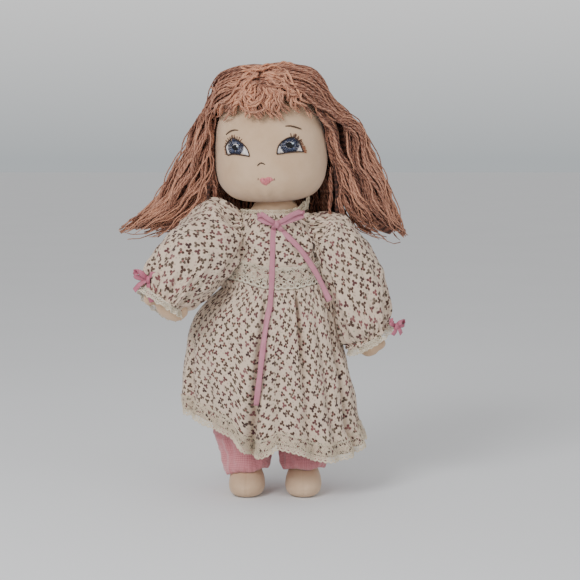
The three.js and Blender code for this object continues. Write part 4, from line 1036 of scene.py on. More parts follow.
def line_on_head(threads, points, half, tint, lift=0.3, taper=True):
    """Lays a line of small back stitches along points on the head."""
    along = distances(points)
    at = np.linspace(0, along[-1], max(int(along[-1] / 0.35), 8))
    flat = smooth(np.column_stack([along, points]), at)
    wide = half * (0.86 + 0.14 * np.abs(np.sin(at * math.pi / 1.7)))
    if taper:
        wide = wide * (0.45 + 0.55 * np.sin(np.clip(at / along[-1], 0.02, 0.98) * math.pi) ** 0.5)
    paths = head_to_doll(head_point(flat[:, 0], flat[:, 1], np.full(len(at), lift)))
    threads.lay(paths[None], wide[None], wide[None] * 0.7, sides=6, tint=tint)


def mixed_tints(random, colours, count, spread=0.12):
    """Thread tints picked from some colours, each a little lighter or darker."""
    picked = np.array([linear(c)[:3] for c in colours])[random.integers(0, len(colours), count)]
    return picked * random.uniform(1 - spread, 1 + spread, (count, 1))


def iris_rays(eye, clip, count, low, high, seed):
    """Both ends of stitches that stand like rays in an iris, kept inside the eye's outline."""
    centre, radii = np.array(eye["iris"]), np.array([eye["across"], eye["up"]])
    turn = (np.arange(count) + rng(seed).uniform(-0.3, 0.3, count)) / count * TURN
    way = np.column_stack([np.cos(turn), np.sin(turn)]) * radii
    edge, gap = np.roll(clip, -1, axis=0) - clip, clip - centre
    x, y = way[:, :1], way[:, 1:]
    cross = x * edge[:, 1] - y * edge[:, 0]
    t = (gap[:, 0] * edge[:, 1] - gap[:, 1] * edge[:, 0]) / cross
    s = (gap[:, 0] * y - gap[:, 1] * x) / cross
    reach = np.where((t > 0) & (s >= 0) & (s <= 1), t, 1).min(1)
    outer = np.minimum(high, np.minimum(reach, 1))
    keep = outer > low + 0.05
    return (centre + way * low)[keep], (centre + way * outer[:, None])[keep]


class CLOTHDOLL_OT_face(bpy.types.Operator):
    """Embroiders the eyes, brows, nose and lips in satin and back stitch"""
    bl_idname = "clothdoll.face"
    bl_label = "Embroidered face"

    def execute(self, context):
        def fill(threads, outline, way, gap, half, lift, colours, spread=0.12):
            starts, ends = across_outline(outline, way, gap)
            stitch_on_head(threads, starts, ends, half, lift, mixed_tints(random, colours, len(starts), spread))

        for side, eye in EYES.items():
            random = rng(60 + SIGNS[side])
            outline = np.array(eye["outline"])
            middle = outline.mean(0)
            whites = Threads()
            fill(whites, middle + (outline - middle) * 0.97, (0.1, 1), 0.4, 0.27, 0.3, ["#f0ebe8", "#e6e0df"])
            spots = np.linspace(-0.6, 0.6, 4)
            tall = 0.85 * np.sqrt(1 - (spots / 0.85) ** 2)
            starts = np.column_stack([eye["light"][0] + spots, eye["light"][1] - tall])
            ends = np.column_stack([eye["light"][0] + spots, eye["light"][1] + tall])
            stitch_on_head(whites, starts, ends, 0.24, 0.95, mixed_tints(random, ["#c9d8e2", "#aebfcd"], 4))
            whites.piece(f"eye_white_{side}", "white_floss", "head", "white_thread", f"eye_{side}")

            iris = Threads()
            clip = middle + (outline - middle) * 0.95
            for count, low, high, half, lift, colours, seed in (
                (84, 0.55, 1.0, 0.28, 0.42, ["#121526", "#1a1e30", "#24283a"], 1),
                (52, 0.3, 0.78, 0.25, 0.52, ["#3a4158", "#292e44", "#1b1f31", "#30364e", "#596280"], 2),
                (26, 0.36, 0.68, 0.22, 0.62, ["#4f5873", "#23283c", "#363c54"], 3),
                (18, 0.78, 0.98, 0.24, 0.56, ["#3f4370", "#33385f", "#555b80"], 4),
            ):
                starts, ends = iris_rays(eye, clip, count, low, high, seed * 7 + SIGNS[side])
                stitch_on_head(iris, starts, ends, half, lift, mixed_tints(random, colours, len(starts)))
            turn = np.linspace(0, TURN, 20, endpoint=False)
            disc = np.column_stack([np.cos(turn), np.sin(turn)]) * (1 + 0.08 * np.sin(turn * 5))[:, None]
            fill(iris, np.array(eye["pupil"]) + disc * eye["pupil_size"], (0.3, 1), 0.36, 0.26, 0.75,
                 ["#06070b", "#0a0b12"])
            iris.piece(f"iris_{side}_stitches", "blue_floss", "head", "blue_thread", f"iris_{side}")

            lines = Threads()
            corner = 4 if side == "right" else 0
            ring = np.vstack([outline[corner:], outline[:corner + 1]])
            line_on_head(lines, ring, 0.78, linear("#3a2a23"), 0.5, taper=False)
            low, high = eye["lashes"]
            edge = outline[low:high]
            steps = distances(edge)
            count = 17
            at = np.linspace(0, steps[-1], count) + random.uniform(-0.2, 0.2, count)
            roots = smooth(np.column_stack([steps, edge]), at)
            out = unit(roots - (middle + [0, -1.5]))
            out = unit(out + random.normal(size=out.shape) * 0.22)
            tips = roots + out * random.uniform(2.0, 3.4, (count, 1))
            share = ease(43, 50, roots[:, 1])[:, None]
            tints = np.array(linear("#9a5f42")[:3]) * (1 - share) + np.array(linear("#57392d")[:3]) * share
            stitch_on_head(lines, roots, tips, 0.44, 0.35, tints)
            line_on_head(lines, eye["brow"], 1.0, linear("#4f3c30"), 0.3)
            lines.piece(f"eye_lines_{side}", "brown_floss", "head", "brown_thread", f"brow_{side}")

        nose = Threads()
        line_on_head(nose, NOSE, 0.85, linear("#41322a"), 0.3)
        nose.piece("nose_line", "brown_floss", "head", "brown_thread", "nose_stitch")
        lips = Threads()
        random = rng(77)
        starts, ends = across_outline(LIPS, (0.12, 1), 0.4)
        starts += random.normal(size=starts.shape) * 0.16
        ends += random.normal(size=ends.shape) * 0.16
        colours = ["#d98084", "#cb7279", "#de8e90"]
        stitch_on_head(lips, starts, ends, 0.27, 0.4, mixed_tints(random, colours, len(starts), 0.06))
        fill(lips, np.array(LIPS) * 0.5 + np.array([3.9, 19.2]) * 0.5, (1, 0.1), 0.6, 0.24, 0.62, ["#cd7c86"], 0.08)
        for x, y in MOUTH_CORNERS:
            stitch_on_head(lips, [(x, y - 0.8)], [(x + 0.4, y + 0.8)], 0.36, 0.3, linear("#8f6a60"))
        lips.piece("lip_stitches", "pink_floss", "head", "pink_thread", "lips")
        return {"FINISHED"}


ARM_ROWS = [
    [7.8, 0, 0], [7.8, 3.3, 2.7], [5.3, 8, 7.4], [-3.2, 13, 11.9], [-14.8, 14.9, 13.4], [-39.2, 13.8, 12.4],
    [-68.5, 12, 10.6], [-83, 10.2, 8.6], [-91, 11.4, 8.4], [-99.5, 10, 7.4], [-104, 6.8, 4.9],
    [-105.6, 3.4, 2.5], [-105.8, 0, 0],
]
THUMB_ROWS = [[0, 0, 0], [0, 1.6, 1.6], [-2.5, 4.2, 4.2], [-8.5, 5.2, 5.2], [-14.5, 4.3, 4.3], [-17, 1.6, 1.6],
              [-17.1, 0, 0]]
# How far a hand turns in towards the body, and how far from the doll's middle the arms keep.
HAND_INWARD = 3.0
ARM_CLEAR = 36.6


class CLOTHDOLL_OT_arms(bpy.types.Operator):
    """Makes the filled muslin arms, each with a mitten hand and a thumb"""
    bl_idname = "clothdoll.arms"
    bl_label = "Arms"

    def execute(self, context):
        for side, sign in SIGNS.items():
            # How far the hand is drawn up or down, its breadth, and where the thumb stands.
            drawn_up, broad, thumb_out = (8.5, 1.28, 11.5) if side == "right" else (-7.0, 0.85, 1.5)

            def arm(around, along):
                points = round_point(profile(ARM_ROWS, along), around, 2.1)
                swell = 1 + 0.02 * wander(points, 24, 21)
                low = ease(74, 94, -points[..., 2])
                points[..., 0] = points[..., 0] * (1 + (broad - 1) * low) - sign * HAND_INWARD * low
                points[..., 2] += drawn_up * ease(70, 100, -points[..., 2])
                points = arm_to_doll(swollen(points, swell), side)
                points[..., 0] = sign * np.maximum(sign * points[..., 0], ARM_CLEAR)
                return points

            def thumb(around, along):
                points = round_point(profile(THUMB_ROWS, along), around) * [1.12, 1.12, 0.92]
                points = points @ turned(-sign * 24, "y").T
                return arm_to_doll(points + [sign * thumb_out, 0, drawn_up - 88.5], side)

            limb = shaped_grid(f"arm_form_{side}", 56, 90, arm, (80, 125), "plain_muslin", closed=True)
            extra = shaped_grid(f"thumb_{side}", 28, 24, thumb, (30, 20), "plain_muslin", closed=True)
            deselect()
            context.view_layer.objects.active = limb
            for form in (limb, extra):
                form.select_set(True)
            bpy.ops.object.join()
            melt = limb.modifiers.new("melt", "REMESH")
            melt.mode = "VOXEL"
            melt.voxel_size = 1.3 * MM
            bpy.ops.object.modifier_apply(modifier="melt")
            soften = limb.modifiers.new("soften", "SMOOTH")
            soften.iterations = 5
            bpy.ops.object.modifier_apply(modifier="soften")
            bpy.ops.object.shade_smooth()
            finish(limb, f"arm_{side}", "muslin", f"arm_cover_{side}", f"arm_stuffing_{side}")
        return {"FINISHED"}


# Leg rows: height, half width, half depth, and the centre back.
LEG_ROWS = [
    [0.1, 0, 0, -6], [0.1, 8, 14.5, -6.2], [1.2, 12.2, 19.6, -6.3], [4, 14.6, 22.8, -6.4], [8.5, 15.4, 23.8, -6.2],
    [14, 14.7, 20.8, -5], [18.5, 13.1, 16.3, -3], [23, 11.8, 12.5, -0.7], [33, 11.8, 12.5, 0], [46, 13.7, 14.4, 0],
    [66, 15, 15.4, 0], [88, 15.1, 12.2, 0], [100, 14.3, 5.8, 0], [108.6, 13.6, 0.6, 0], [109.3, 0, 0, 0],
]


def leg_shape(sign, around, along):
    row = profile(LEG_ROWS, along)
    points = round_point(row, around, 2.15)
    off = (around + 0.5) % 1 - 0.5
    low = 1 - ease(24, 34, points[..., 2])
    seam = np.exp(-(off / 0.009) ** 2) * (0.4 + 0.6 * low)
    pulls = np.exp(-(off / 0.05) ** 2) * np.sin(points[..., 2] * 1.7) * low
    swell = 1 - 0.035 * seam + 0.008 * pulls + 0.008 * wander(points, 18, 25)
    swell = 1 + (swell - 1) * ease(0.2, 3, points[..., 2])
    return swollen(points, swell) + [sign * LEG_X, 0, 0]


class CLOTHDOLL_OT_legs(bpy.types.Operator):
    """Makes the filled muslin legs and feet, with a seam up the front of each foot"""
    bl_idname = "clothdoll.legs"
    bl_label = "Legs"

    def execute(self, context):
        for side, sign in SIGNS.items():
            piece = shaped_grid(f"leg_form_{side}", 120, 110, lambda u, v: leg_shape(sign, u, v), (95, 150),
                                "plain_muslin", closed=True)
            finish(piece, f"leg_{side}", "muslin", f"leg_cover_{side}", f"leg_stuffing_{side}")
        return {"FINISHED"}


PANTALOON_ROWS = [
    [20.8, 14.2, 15.4], [21.2, 16.4, 17.6], [22.4, 18.4, 19.6], [25, 19.6, 21], [29, 20.4, 22], [34, 21.4, 23],
    [40, 22.6, 24], [50, 23.4, 24.8], [62, 23.6, 25], [84.5, 22.8, 24.8], [100.3, 21.7, 24.4],
]
SEAT_ROWS = [[101.2, 45, 28.2], [113, 46, 30], [131.5, 45, 30], [150, 41.4, 28.2], [158.5, 37, 25], [162, 35.7, 23.7],
             [166, 35.9, 23.9]]


def seat_shape(around, along):
    height = 101.2 + along * 64.8
    row = np.concatenate([height[..., None], smooth(SEAT_ROWS, height)], -1)
    points = round_point(row, around, 2.2)
    ring = points * [1, 1, 0.4]
    lift = 0.7 * np.sin(TURN * around * 30 + 1.5 * wander(ring, 25, 37)) * ease(135, 158, height)
    return pushed_out(points, lift + 1.2 * wander(ring, 30, 38) * (1 - ease(140, 160, height)))


def pantaloon_shape(side, around, along):
    sign = SIGNS[side]
    height = 20.8 + along * 79.5
    row = np.concatenate([height[..., None], smooth(PANTALOON_ROWS, height)], -1)
    points = round_point(row, around, 2.1)
    ring = points * [1, 1, 0.28]
    gather = np.exp(-((height - 21) / 5) ** 2)
    middle = ease(22, 30, height) * (1 - ease(40, 80, height))
    lift = 0.6 * np.sin(TURN * around * 20 + 1.5 * wander(ring, 20, 31)) * gather
    lift += 0.8 * np.sin(TURN * around * 8 + 1.8 * wander(ring, 30, 32)) * middle
    lift += 1.1 * wander(points * [1, 1, 0.6], 24, 33 + sign) * ease(24, 45, height)
    lift += 0.45 * wander(points * [1, 1, 1.5], 10, 35 + sign) * ease(22, 34, height)
    points = pushed_out(points, np.clip(lift, -2, 3))
    # Under the skirt the front is flatter, so that a leg can swing forward behind the hem.
    flatter = 0.24 * ease(24, 40, height) * (1 - ease(84, 96, height)) * (points[..., 1] < 0)
    points[..., 1] *= 1 - flatter
    points[..., 2] += 1.0 * wander(points[..., :2], 25, 34) * (1 - ease(21, 34, height))
    if side == "right":
        points[..., 2] += (1 - ease(21, 40, height)) * (-2.4 + 2.6 * points[..., 0] / 20)
        points[..., 0] -= 5.5 * ease(28, 58, height) * ease(0, 8, -points[..., 0])
    points[..., 0] = np.where(sign * points[..., 0] < -LEG_X + 0.6, -sign * (LEG_X - 0.6), points[..., 0])
    return points + [sign * LEG_X, 0, 0]


class CLOTHDOLL_OT_pantaloons(bpy.types.Operator):
    """Makes the pink jersey pantaloons: the seat, and two legs gathered on elastic above a short frill"""
    bl_idname = "clothdoll.pantaloons"
    bl_label = "Pantaloons"

    def execute(self, context):
        for side in SIGNS:
            piece = shaped_grid(f"pantaloon_leg_{side}_cloth", 200, 70, lambda u, v: pantaloon_shape(side, u, v),
                                (150, 86), "pink_jersey", closed=True, thickness=0.9)
            finish_bent(piece, ("lap", f"leg_{side}"), (0, 0, 116), (0, 0, 88), "pink_knit",
                        f"pantaloon_leg_{side}", f"ankle_elastic_{side}")

        piece = shaped_grid("pantaloon_seat_cloth", 220, 50, seat_shape, (285, 66), "pink_jersey", closed=True,
                            thickness=0.9)
        finish_bent(piece, ("torso", "lap"), (0, 0, 128), (0, 0, 100), "pink_knit", "pantaloon_seat",
                    "waist_elastic")
        return {"FINISHED"}


def bodice_shape(around, along):
    height = 173.4 + along * 63.4
    angle = around * 360
    ring = bodice_point(angle, height) * [1, 1, 0.25]
    near = ease(212, 237, height)
    lift = 0.95 * near * np.sin(np.radians(angle) * 34 + 1.3 * wander(ring, 20, 41))
    lift += 1.3 * ease(188, 205, height) * (1 - 0.5 * near) * np.sin(
        np.radians(angle) * 13 + 1.6 * wander(ring, 28, 42))
    lift += 1.0 * wander(bodice_point(angle, height), 24, 43) * ease(174, 186, height)
    lift += 0.4 * wander(bodice_point(angle, height), 10, 44)
    lift += 0.6 * np.exp(-((height - 235.4) / 0.9) ** 2) - 0.5 * np.exp(-((height - 233.4) / 0.7) ** 2)
    # Under the ribbon's long end the cloth lies flat.
    flat = np.exp(-(wrapped(angle + 3) / 13) ** 2)
    return bodice_point(angle, height, (lift - 0.4) * (1 - 0.9 * flat))


def placket_shape(across, along):
    height = 181 + along * 46
    angle = 180 + (across - 0.5) * 17
    return bodice_point(angle, height, 1.7 + 0.25 * wander(np.stack([angle, height], -1), 14, 45))


def standing_lace(along, down):
    angle = along / 146 * 360
    a = np.radians(angle)
    rise = 5.2 - down
    stand = 0.5 + 0.9 * rise / 5 + 0.8 * np.sin(a * 19) * rise / 5
    upright = np.exp(-((angle % 360 - 78) / 30) ** 2)
    wide, deep = smooth(BODICE_ROWS, 237.0)
    height = 235.4 + rise * (0.8 + 1.3 * upright) + 4 * upright
    return np.stack([(wide + stand) * np.sin(a), -(deep + stand) * np.cos(a), height], -1)


class CLOTHDOLL_OT_bodice(bpy.types.Operator):
    """Makes the bodice, gathered at the neck, its back placket and snaps, and the lace round the neck"""
    bl_idname = "clothdoll.bodice"
    bl_label = "Bodice"

    def execute(self, context):
        piece = shaped_grid("bodice_cloth", 300, 90, bodice_shape, (262, 68), "printed_calico", closed=True,
                            thickness=0.5)
        finish(piece, "torso", "calico", "bodice")

        piece = shaped_grid("placket_cloth", 24, 60, placket_shape, (12, 46), "printed_calico", thickness=0.5, offset=0)
        finish(piece, "torso", "calico", "back_placket")
        metal = material_for("nickel_plate")
        for name in ("dress_snap_1", "dress_snap_2"):
            for slot in bpy.data.objects[name].material_slots:
                slot.material = metal

        lace = Threads()
        lay_lace(lace, standing_lace, 146, [
            ("cord", 4.9, 0.4), ("cord", 3.9, 0.26), ("net", 0.9, 4.6, 1.7), ("scallops", 1.5, -1.3, 4.2, 0.28),
            ("rings", 2.6, 0.9, 4.2, 0.2),
        ], 46, 0.16)
        lace.piece("neck_lace_threads", "cream_lace_cotton", "torso", "cream_lace", "neck_lace")
        return {"FINISHED"}


class CLOTHDOLL_OT_sleeves(bpy.types.Operator):
    """Makes the full sleeves, gathered at the shoulder and at the cuff"""
    bl_idname = "clothdoll.sleeves"
    bl_label = "Sleeves"

    def execute(self, context):
        for side, sign in SIGNS.items():
            piece = shaped_grid(f"sleeve_{side}_cloth", 200, 100, lambda u, v: sleeve_cloth(side, u, v), (190, 118),
                                "printed_calico", closed=True, thickness=0.5)
            finish_bent(piece, ("torso", f"arm_{side}"), (sign * 40, 0, 224), arm_to_doll((0, 0, -38), side),
                        "calico", f"sleeve_{side}", f"cuff_elastic_{side}")
        return {"FINISHED"}


def strip(threads, points, across, wide, thick=0.3, count=40):
    """Lays a ribbon through points, its width along the directions given."""
    points, across = np.asarray(points, float), np.asarray(across, float)
    along = distances(points)
    wide = np.broadcast_to(np.asarray(wide, float), (len(points),))
    rows = smooth(np.column_stack([along, points, across, wide]), np.linspace(0, along[-1], count))
    threads.lay(rows[None, :, :3], rows[None, :, 6], np.full((1, count), thick), sides=8, across=rows[:, 3:6])


# The bows at the cuffs: the knot and the way it faces, tip and middle of each loop, how a loop turns back, tips of
# the tails and how far they arch, the wrap round the knot and its way across, and half widths along each.
CUFF_BOWS = {
    "right": {
        "knot": (-101.5, -50.5, 184.5), "out": (-0.55, -0.8, 0.25),
        "loops": (((-111.5, -52, 192), (-107, -55, 190)), ((-93.5, -53.5, 187.5), (-98, -57, 189))),
        "turn": (0, 0, -4), "loop_widths": [1.2, 2.4, 2.6, 2.4, 1.2],
        "tails": ((-113, -50, 175.5), (-98.5, -54.5, 166.5)), "arch": 2.2, "tail_widths": [1.4, 2.3, 2.4],
        "wrap": ((0, -1.8, 2.6), (0, -2.8, 0), (0, -1.8, -2.6)), "across": (1, -0.5, 0),
        "wrap_widths": [1.5, 2.0, 1.5],
    },
    "left": {
        "knot": (99.5, -23.0, 143.8), "out": (0.7, -0.7, 0.1),
        "loops": (((95.6, -27, 150.5), (96, -28, 147)), ((106, -19.5, 148), (104, -24.5, 147))),
        "turn": (0.5, 0, -3.2), "loop_widths": [1.2, 2.3, 2.4, 2.3, 1.2],
        "tails": ((97, -25.5, 136.5), (104.5, -22, 137)), "arch": 1.6, "tail_widths": [1.4, 2.2, 2.3],
        "wrap": ((0.5, -1.5, 2.4), (1, -2.2, 0), (0.5, -1.5, -2.4)), "across": (1, 0.6, 0),
        "wrap_widths": [1.4, 1.9, 1.4],
    },
}


class CLOTHDOLL_OT_cuffs(bpy.types.Operator):
    """Adds the lace frills at the cuffs and the small satin bows above them"""
    bl_idname = "clothdoll.cuffs"
    bl_label = "Cuffs"

    def execute(self, context):
        for side in SIGNS:
            def frill(along, down):
                around = along / 120
                wave = np.sin(TURN * around * 15 + 0.8 * np.sin(TURN * around * 4))
                base = sleeve_point(side, around, np.ones_like(around), -0.4 + 0.22 * down + 0.2 * down * wave)
                front = ease(-0.3, 0.5, np.sin(TURN * around))[..., None]
                hang = unit(unit(np.array(ARM_DIRECTIONS[side])) + np.array([0, 0, -0.35]) * front)
                return base + hang * (down - 1.0)[..., None] * 0.72

            lace = Threads()
            lay_lace(lace, frill, 120, [
                ("cord", 0.4, 0.4), ("cord", 1.6, 0.26), ("net", 0.8, 6.4, 2.6), ("rings", 3.6, 1.2, 3.0, 0.26),
                ("cord", 5.6, 0.28), ("rings", 6.5, 0.9, 2.5, 0.3), ("scallops", 6.4, 1.6, 4.2, 0.44),
            ], 80 + SIGNS[side], 0.15)
            name = f"cuff_lace_{side}"
            lace.piece(name + "_threads", "ivory_lace_cotton", f"arm_{side}", "cream_lace", name)

        up = np.array([0.1, -0.2, 1.0])
        for side, bow in CUFF_BOWS.items():
            ribbon = Threads()
            knot, out = np.array(bow["knot"]), unit(np.array(bow["out"]))
            for tip, middle in bow["loops"]:
                strip(ribbon, [knot, middle, tip, np.add(tip, bow["turn"]), knot + [0, 0.5, -1.2]],
                      [up, up, out, -up, -up], bow["loop_widths"])
            for tip in bow["tails"]:
                middle = (knot + tip) / 2 + out * bow["arch"]
                strip(ribbon, [knot, middle, tip], [unit(np.cross(tip - knot, out))] * 3, bow["tail_widths"])
            strip(ribbon, knot + bow["wrap"], [bow["across"]] * 3, bow["wrap_widths"], 0.8, 12)
            ribbon.piece(f"cuff_bow_{side}_ribbon", "rose_satin", f"arm_{side}", "pink_satin", f"cuff_bow_{side}")
        return {"FINISHED"}


class CLOTHDOLL_OT_skirt(bpy.types.Operator):
    """Makes the gathered calico skirt with its folds and the lower right side of its hem"""
    bl_idname = "clothdoll.skirt"
    bl_label = "Skirt"

    def execute(self, context):
        def skirt(around, along):
            return skirt_point(around * 360, 1 - along)

        piece = shaped_grid("skirt_cloth", 420, 90, skirt, (480, 122), "printed_calico", closed=True,
                            thickness=0.5)
        finish_bent(piece, ("torso", "lap"), *HIP_FOLD, "calico", "skirt")
        return {"FINISHED"}


class CLOTHDOLL_OT_dress_laces(bpy.types.Operator):
    """Sews the cream lace over the hem and the ivory lace over the yoke seam, front and back"""
    bl_idname = "clothdoll.dress_laces"
    bl_label = "Hem and yoke laces"

    def execute(self, context):
        angles, lengths = skirt_length(1.0)
        total = float(lengths[-1])

        def hem(along, down):
            angle = np.interp(along % total, lengths, angles)
            fall = SKIRT_TOP - (smooth(HEM_HEIGHTS, angle)[..., 0] + LACE_BELOW)
            return skirt_point(angle, 1 + (down - 10) / fall, 0.9)

        lace = Threads()
        lay_lace(lace, hem, total, [
            ("cord", 0.6, 0.26), ("scallops", 0.4, -1.0, 3.6, 0.2), ("net", 0.6, 11.6, 4.2),
            ("petals", 5.8, 2.4, 6.8, 0.22), ("rings", 9.2, 1.1, 3.6, 0.26),
            ("cord", 10.6, 0.3), ("cord", 11.6, 0.34), ("rings", 12.6, 1.0, 2.8, 0.34),
            ("scallops", 12.4, 1.9, 4.6, 0.5),
        ], 90, 0.13)
        piece = lace.piece("hem_lace_threads", "cream_lace_cotton")
        finish_bent(piece, ("torso", "lap"), *HIP_FOLD, "cream_lace", "hem_lace")

        for name, node, centre in (("yoke_lace_front_threads", "yoke_lace_front", -4.0),
                                   ("yoke_lace_back_threads", "yoke_lace_back", 180.0)):
            def yoke(along, down):
                angle = centre + (along - 45) / 45 * 76
                tilt = smooth(YOKE_RISE, wrapped(angle))[..., 0]
                lift = 1.5 - 0.9 * np.exp(-(wrapped(angle + 3) / 10) ** 2) + 0.3 * np.sin(along / 6.0)
                return bodice_point(angle, 193.4 - down + tilt, lift)

            lace = Threads()
            lay_lace(lace, yoke, 90, [
                ("scallops", 2.2, -1.1, 3.6, 0.34), ("cord", 2.6, 0.26), ("net", 2.6, 16.6, 5.2),
                ("rings", 4.6, 1.2, 3.6, 0.26), ("petals", 9.2, 2.2, 7.2, 0.22),
                ("rings", 12.8, 1.4, 3.9, 0.34), ("rings", 16.4, 1.6, 4.2, 0.46),
                ("scallops", 17.0, 1.6, 4.2, 0.5),
            ], 95, 0.12, endless=False)
            lace.piece(name, "ivory_lace_cotton", "torso", "cream_lace", node)
        return {"FINISHED"}


class CLOTHDOLL_OT_neck_bow(bpy.types.Operator):
    """Ties the satin bow at the neck"""
    bl_idname = "clothdoll.neck_bow"
    bl_label = "Neck bow"

    def execute(self, context):
        bow = Threads()
        knot = np.array([1.6, -30.2, 228.3])
        up = np.array([0.0, -0.25, 1.0])
        strip(bow, [knot, (-5, -33.4, 232.5), (-11.6, -32.2, 236.4), (-13.4, -30.6, 234.2), (-8, -31.0, 230.2),
                    knot + [0, 0.4, -0.8]],
              [up, (0.5, -0.3, 0.8), (0.9, -0.4, 0.1), (0.3, -0.3, -0.9), (0.4, -0.2, -0.9), -up],
              [1.3, 2.1, 2.2, 2.2, 2.0, 1.3])
        strip(bow, [knot, (8, -33.2, 232), (16, -31.8, 236.6), (22, -28.8, 238.4), (23.4, -27.4, 236),
                    (15.5, -29.6, 232.2), (8, -31.2, 229.6), knot + [0, 0.4, -0.8]],
              [up, (-0.4, -0.3, 0.9), (-0.4, -0.3, 0.9), (-0.9, -0.3, 0.1), (-0.3, -0.3, -0.9),
               (-0.3, -0.2, -0.9), (-0.3, -0.2, -0.9), -up],
              [1.3, 2.1, 2.2, 2.2, 2.2, 2.1, 2.0, 1.3], count=60)
        strip(bow, [knot + [0, -1.2, 2.6], knot + [0.2, -2.4, 0], knot + [0, -1.2, -2.8]], [(1, 0, 0)] * 3,
              [1.5, 2.1, 1.7], 0.9, 12)
        for tip in (TAIL_LONG[0], TAIL_SHORT[0]):
            middle = (knot + tip) / 2 + [0, -1.6, 0]
            strip(bow, [knot, middle, np.add(tip, [0, -0.6, 0])], [(1, 0, 0.1)] * 3, [1.6, 2.2, 2.3], count=14)
        bow.piece("neck_bow_ribbon", "pale_satin", "torso", "pink_satin", "neck_bow")
        return {"FINISHED"}


# The hair. Points down each side's mass: across, back and up, then half its breadth and half its depth.
LOCKS = {
    "right": [
        [-20, 2, 350, 4, 8], [-38, 4, 339, 9, 16], [-48, 6, 322, 13, 22], [-55, 8, 300, 16, 24],
        [-64, 9, 275, 19, 24], [-77, 11, 252, 19, 20], [-96, 13, 235, 13, 13], [-115, 14, 226, 7, 8],
        [-131, 13, 221, 1.5, 2],
    ],
    "left": [
        [18, 2, 351, 4, 8], [34, 4, 341, 8, 16], [48, 6, 322, 12, 22], [58, 8, 301, 16.5, 24],
        [66, 9, 275, 20, 24], [77, 11, 250, 21, 20], [88, 13, 232, 17, 14], [100, 13, 222, 9, 10],
        [109, 13, 216, 3, 4],
    ],
}
# The dome of the scalp in the head's frame: where it starts, how far it rises, and its half width and half depth.
DOME = {"height": 57.0, "rise": 48.5, "wide": 44.5, "deep": 40.5}
# Half the thickness of a loose fibre, and the turn from one clump of strands to the next.
FIBRE = 0.13
GOLDEN_ANGLE = 2.39996


def scalp_point(angle, fall, lift):
    """A point over the scalp in the head's frame: degrees round from the front, degrees down from the top."""
    a, f = np.radians(angle), np.radians(fall)
    height = DOME["height"] + DOME["rise"] * np.cos(f)
    size = smooth(HEAD_ROWS, np.clip(height, 3, 105))
    dome = np.stack([np.sin(f) * DOME["wide"], np.sin(f) * DOME["deep"]], -1)
    size = np.where((height > DOME["height"])[..., None], dome, size)
    wide, deep = size[..., 0] + lift * np.sin(f), size[..., 1] + lift * np.sin(f)
    return np.stack([wide * np.sin(a), -deep * np.cos(a), height + lift * np.cos(f)], -1)


def outside_head(points, gap):
    """Moves points in the doll's frame that lie inside the head out to its surface and a gap."""
    local = (points - HEAD_PLACE) @ HEAD_FRAME
    height = local[..., 2]
    size = smooth(HEAD_ROWS, np.clip(height, 4, 104)) + gap
    return head_to_doll(outside(local, size, (height > 3) & (height < 100), 0.3))


def settled(path, times):
    """A path with its sharp bends evened out."""
    for _ in range(times):
        path[1:-1] = (path[:-2] + 2 * path[1:-1] + path[2:]) / 4
    return path


def curve_through(points, count):
    along = distances(points)
    at = np.linspace(0, along[-1], count)
    return settled(smooth(np.column_stack([along, points]), at), 3), at


def crimped(random, path, at, locks, phase, strand_wave, lock_wave, grow):
    """A strand's path with its lock's slow wave and its own fine crimp."""
    way = unit(np.gradient(path, axis=0))
    side = unit(np.cross(way, [0.0, 1.0, 0.2]))
    other = np.cross(way, side)
    slow = TURN * at / locks[0] + phase
    fast = TURN * at / random.uniform(13, 26) + random.uniform(0, TURN)
    swing = grow * (lock_wave * np.sin(slow) + strand_wave * np.sin(fast))
    sway = grow * (lock_wave * 0.8 * np.cos(slow + locks[1]) + strand_wave * 0.8 * np.cos(fast * 0.93))
    return path + side * swing[:, None] + other * sway[:, None]


def frayed(random, paths):
    """Fine loose fibres that run beside strands and stand off them."""
    many, steps = paths.shape[:2]
    off = np.zeros_like(paths)
    for _ in range(3):
        way = unit(random.normal(size=(many, 1, 3)))
        rate = random.uniform(0.35, 1.3, (many, 1))
        reach = random.uniform(0.35, 0.9, (many, 1))
        off += way * (reach * np.sin(rate * np.arange(steps) + random.uniform(0, TURN, (many, 1))))[..., None]
    return paths + off


def over_scalp(sign, parting, angle, level, stages):
    """Points over the scalp from the parting, at degrees from the top to the front, towards degrees round the head
    and a level. Each stage gives a share of the way and how far the strand stands off."""
    parting, angle = math.radians(parting), math.radians(angle)
    top = np.array([-sign * 0.03, -math.sin(parting), math.cos(parting)])
    low = np.array([math.sin(angle), -math.cos(angle), level])
    points = []
    for t, lift in stages:
        way = unit(top * (1 - t) + low * t)
        around, fall = math.degrees(math.atan2(way[0], -way[1])), math.degrees(math.acos(min(way[2], 1)))
        points.append(head_to_doll(scalp_point(around, fall, lift)))
    return points


def round_neck(angle, wide, deep, height):
    """A point round the head's upright axis in the doll's frame, its angle in radians from the front."""
    return np.stack([HEAD_PLACE[0] + wide * np.sin(angle), HEAD_PLACE[1] - deep * np.cos(angle), height], -1)


def hair_piece(name, node, paths, radii, strands, fibres, paler):
    """Makes a piece of the hair from strands of yarn and the loose fibres beside them."""
    hair = Threads()
    hair.lay(np.array(paths), np.array(radii), strand=np.array(strands))
    hair.lay(fibres, FIBRE, sides=3, strand=np.minimum(np.array(strands) + paler, 1))
    hair.piece(name, "plied_yarn", "head", "peach_yarn", node)


